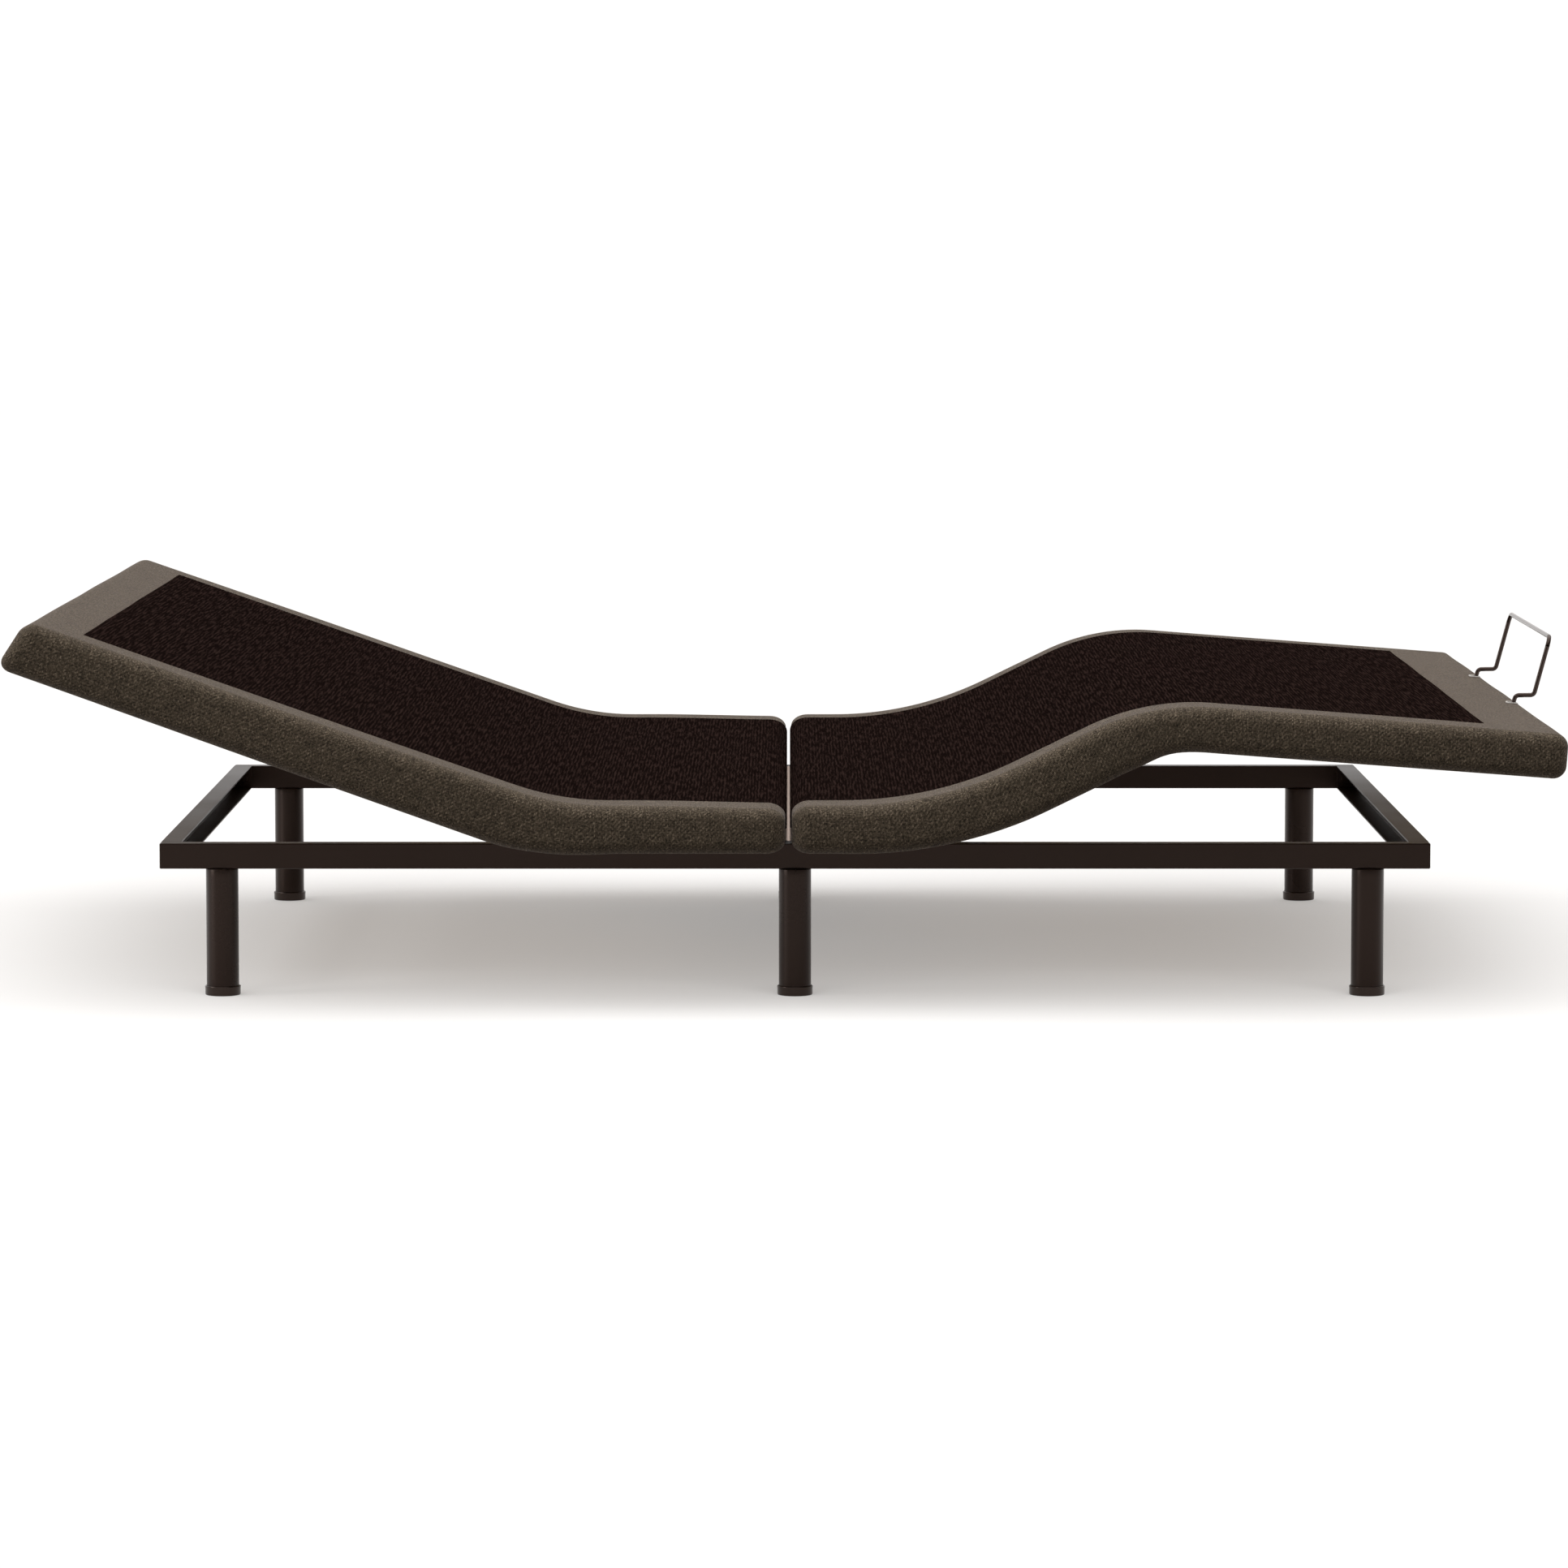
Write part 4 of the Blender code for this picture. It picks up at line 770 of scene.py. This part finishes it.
def stitched_slot(name, y, material):
    """The stitched edge of the slot that a retainer foot comes out of: a thin ring round a
    rounded oblong, laid on the cover's top and down over the start of its rolled end."""
    loop = np.linspace(0, 2 * math.pi, 64, endpoint=False)[:, None]
    tube = np.linspace(0, 2 * math.pi, 10, endpoint=False)
    thread, half_length, half_across, inset = 0.0011, 0.0072, 0.0125, 0.0168
    reach = thread * np.cos(tube)
    round_x, round_y = (np.sign(w) * np.abs(w) ** 0.7 for w in (np.cos(loop), np.sin(loop)))
    forward = round_x * half_length + np.cos(loop) * reach - inset
    across = round_y * half_across + np.sin(loop) * reach
    into_roll = np.clip(forward - FOOT_FULLNESS + ROLL, 0, ROLL)
    height = 0.0006 + thread * np.sin(tube) - ROLL + np.sqrt(ROLL ** 2 - into_roll ** 2)
    along, up = direction(-FOOT_SLOPE), direction(math.pi / 2 - FOOT_SLOPE)
    points = np.stack([FOOT_END[0] + along[0] * forward + up[0] * height, y + across,
                       FOOT_END[1] + along[1] * forward + up[1] * height], -1)
    number = np.arange(points.size // 3).reshape(points.shape[:2])
    number = np.concatenate([number, number[:1]], 0)
    number = np.concatenate([number, number[:, :1]], 1)
    made = mesh_object(name, points.reshape(-1, 3), quads(number), material=material)
    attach(made, "foot")


# --- Studio -----------------------------------------------------------------------------------
def studio():
    """A pale floor in a pale surround. A wide soft sun and a softbox to the left light the bed, a
    fill lights only the floor, and a key lights only the felt seen through the split."""
    world = bpy.data.worlds.new("studio")
    bpy.context.scene.world = world
    world.use_nodes = True
    nodes = Nodes(world.node_tree)
    background = world.node_tree.nodes["Background"]
    toward = nodes.add("SeparateXYZ", {"Vector": nodes.add("TexCoord").outputs["Generated"]})
    behind = nodes.range(toward.outputs["Y"], -0.35, 0.45)
    seen = nodes.add("LightPath").outputs["Is Camera Ray"]
    light = nodes.mix(behind, tuple(FRONT_LIGHT * c for c in (1.0, 0.86, 0.72)) + (1,),
                      tuple(BACK_LIGHT * c for c in (1.0, 0.98, 0.97)) + (1,))
    colour = nodes.mix(seen, light, (BACKDROP, BACKDROP, BACKDROP, 1))
    world.node_tree.links.new(colour, background.inputs["Color"])

    corners = FLOOR_SIZE * np.array([[-1, -1, 0], [1, -1, 0], [1, 1, 0], [-1, 1, 0]], float)
    floor = mesh_object("studio_floor", corners, np.array([[0, 1, 2, 3]]))
    look, nodes, shader = new_material("floor_paint", Roughness=0.9, Specular_IOR_Level=0.0)
    speck = nodes.noise(nodes.add("TexCoord").outputs["Object"], 2.0, 2.0)
    colour = nodes.mix(speck, (0.52, 0.516, 0.512, 1), (0.54, 0.536, 0.532, 1))
    nodes.tree.links.new(colour, shader.inputs["Base Color"])
    shader.inputs["Emission Color"].default_value = (1.0, 0.985, 0.97, 1)
    shader.inputs["Emission Strength"].default_value = FLOOR_GLOW
    floor.data.materials.append(look)
    floor.visible_diffuse = False      # its glow lights nothing else

    lamp("overhead_sun", "SUN", SUN, turn=(math.radians(8), math.radians(-2), 0),
         angle=math.radians(100))
    softbox = lamp("left_softbox", "AREA", SOFTBOX, (-6.0, -2.6, 1.5), shape="RECTANGLE", size=2.2,
                   size_y=3.0)
    aim = Vector((-0.3, 0, 0.2)) - softbox.location
    softbox.rotation_euler = aim.to_track_quat("-Z", "Y").to_euler()
    fill = lamp("floor_fill", "AREA", FLOOR_FILL, (0, -4.0, 1.2), (math.pi / 2, 0, 0),
                shape="RECTANGLE", size=8.0, size_y=2.4)
    light_only(fill, floor)
    key = lamp("split_key", "SUN", SPLIT_KEY, angle=math.radians(5))
    light_only(key, bpy.data.objects["centre_rail_felt"])
    bpy.context.scene.view_settings.view_transform = "Standard"


def lamp(name, kind, energy, place=(0, 0, 0), turn=(0, 0, 0), **settings):
    """A light at a place, turned by three angles; settings are its lamp's own."""
    light = bpy.data.lights.new(name, kind)
    light.energy = energy
    for setting, value in settings.items():
        setattr(light, setting, value)
    made = bpy.data.objects.new(name, light)
    made.location = place
    made.rotation_euler = turn
    bpy.context.scene.collection.objects.link(made)
    return made


def light_only(light, piece):
    """The light falls on this one piece."""
    lit = bpy.data.collections.new("lit_by_" + light.name)
    lit.objects.link(piece)
    light.light_linking.receiver_collection = lit


def camera():
    """A long lens before the middle of the bed, a little above it."""
    lens = bpy.data.cameras.new("camera")
    lens.sensor_width = 36.0
    lens.lens = CAMERA_LENS
    lens.shift_x = CAMERA_SHIFT
    lens.clip_end = 200
    made = bpy.data.objects.new("camera", lens)
    made.location = CAMERA_PLACE
    made.rotation_euler = (math.pi / 2 - CAMERA_PITCH, 0, 0)
    bpy.context.scene.collection.objects.link(made)
    bpy.context.scene.camera = made


# --- The bed ----------------------------------------------------------------------------------
def upholstery(cover_cloth, panel_cloth):
    """Both halves of the deck. The foot half's cloth is made in two lengths that meet half-way along the thigh
    section."""
    head_line = DeckLine([HEAD_END, HEAD_VERTEX, (SPLIT_HEAD_X, SEAT_TOP)], [HEAD_BEND])
    foot_line = DeckLine([(SPLIT_FOOT_X, SEAT_TOP), THIGH_VERTEX, KNEE_VERTEX, FOOT_END],
                         [THIGH_BEND, KNEE_BEND])
    bend, = head_line.arcs
    head = DeckHalf(head_line, [(0, 0.0685), (0.35, 0.072), (bend[0], 0.074), (bend[1], 0.0615)],
                    HEAD_END_SLANT,
                    lambda s: HEAD_DROOP * smooth((s - head_line.length + 0.20) / 0.20))
    thigh_bend, knee_bend = foot_line.arcs
    middle = sum(knee_bend) / 2
    foot = DeckHalf(foot_line, [(thigh_bend[0], 0.0615), (thigh_bend[1], 0.0690),
                                (knee_bend[0], 0.0690), (middle - 0.025, 0.0665),
                                (middle, 0.0605), (middle + 0.025, 0.0580),
                                (knee_bend[1], 0.0590), (foot_line.length, 0.0580)])
    join = (thigh_bend[1] + knee_bend[0]) / 2
    whole = [("head_half", head, 0, head_line.length, "sewn", "over", "base", "head", bend),
             ("foot_half_seat", foot, 0, join, "over", "joined", "base", "thigh", thigh_bend),
             ("foot_half_knee", foot, join, foot_line.length, "joined", "sewn", "thigh", "foot",
              knee_bend)]
    rolls = {"sewn": ROLL, "over": SPLIT_ROLL, "joined": 0.0}
    past = {"sewn": 0.0, "over": -SPLIT_EASE, "joined": 0.0}
    for name, half, low, high, kind_low, kind_high, body_a, body_b, bend in whole:
        far = high + (FOOT_FULLNESS if body_b == "foot" else past[kind_high])
        cover = padded_cover(name + "_cover", half, low - past[kind_low], far, rolls[kind_low],
                             rolls[kind_high], cover_cloth)
        panel = sleeping_panel(name + "_panel", half,
                               low + {"sewn": HEAD_BORDER, "over": SPLIT_EASE}.get(kind_low, 0),
                               high - {"sewn": FOOT_BORDER, "over": SPLIT_EASE}.get(kind_high, 0),
                               kind_low, kind_high, panel_cloth)
        start, stop = (half.line.at(np.array([at]))[0][0] for at in bend)
        if body_b == "head":
            start, stop = stop, start
        start, stop = ((x, 0, z) for x, z in (start, stop))
        for piece in (cover, panel):
            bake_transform(piece)
    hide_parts("head_pad", "seat_head_pad")
    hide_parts("seat_foot_pad")
    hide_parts("foot_pad", "thigh_pad")


def main():
    """Makes the materials, dresses the frame, and adds the upholstery, trim and studio."""
    twill, skin = twill_group(), coated_skin_group()
    heather = heather_fabric("heather_twill", twill, (0.0215, 0.0160, 0.0107), (0.093, 0.0725, 0.0500),
                             (0.265, 0.209, 0.154))
    panel = ribbed_panel_fabric("ribbed_panel")
    rail_coat = coated_metal("rail_powder_coat", skin, (0.0125, 0.0072, 0.0055), 0.36)
    leg_coat = coated_metal("leg_powder_coat", skin, (0.012, 0.0070, 0.0055), 0.28)
    cap_plastic = coated_metal("cap_plastic", skin, (0.006, 0.005, 0.0045), 0.16, grain=1600.0,
                               specular=0.5)
    case_plastic = coated_metal("case_plastic", skin, (0.017, 0.016, 0.015), 0.45, grain=1400.0)
    retainer_coat = coated_metal("retainer_coat", skin, (0.018, 0.012, 0.010), 0.15, specular=0.5)
    finishes = {"painted_steel": rail_coat, "leg_steel": leg_coat, "cap_plastic": cap_plastic,
                "black_plastic": case_plastic, "plywood": plywood("plywood_sheet"),
                "zinc_plate": zinc_plate("zinc_plating")}

    slots = {part["node"]: part["material_slot"] for part in frame["record"]["subparts"]}
    for name, node in frame["nodes"].items():
        if name.startswith("leg_"):
            leg(name, leg_coat)
        elif name.startswith("foot_cap_"):
            foot_cap(name, cap_plastic)
        elif slots[name] in finishes:
            node.data.materials.clear()
            node.data.materials.append(finishes[slots[name]])
            wide = "rail_" in name or name in ("control_box", "power_supply")
            soften(node, 0.0014 if wide else 0.0006)
    upholstery(heather, panel)
    retainer_bar(retainer_coat)
    thread = felt("pale_thread", (0.40, 0.38, 0.36), (0.66, 0.63, 0.60))
    for word, side in (("front", -1), ("back", 1)):
        stitched_slot("retainer_slot_" + word, side * RETAINER_HALF, thread)
    # the felt's pale tan is a painted highlight for the light seen through the split
    painted_highlight_rail_felt(felt("tan_felt", (0.45, 0.35, 0.30), (0.74, 0.60, 0.52)))
    studio()
    camera()


main()
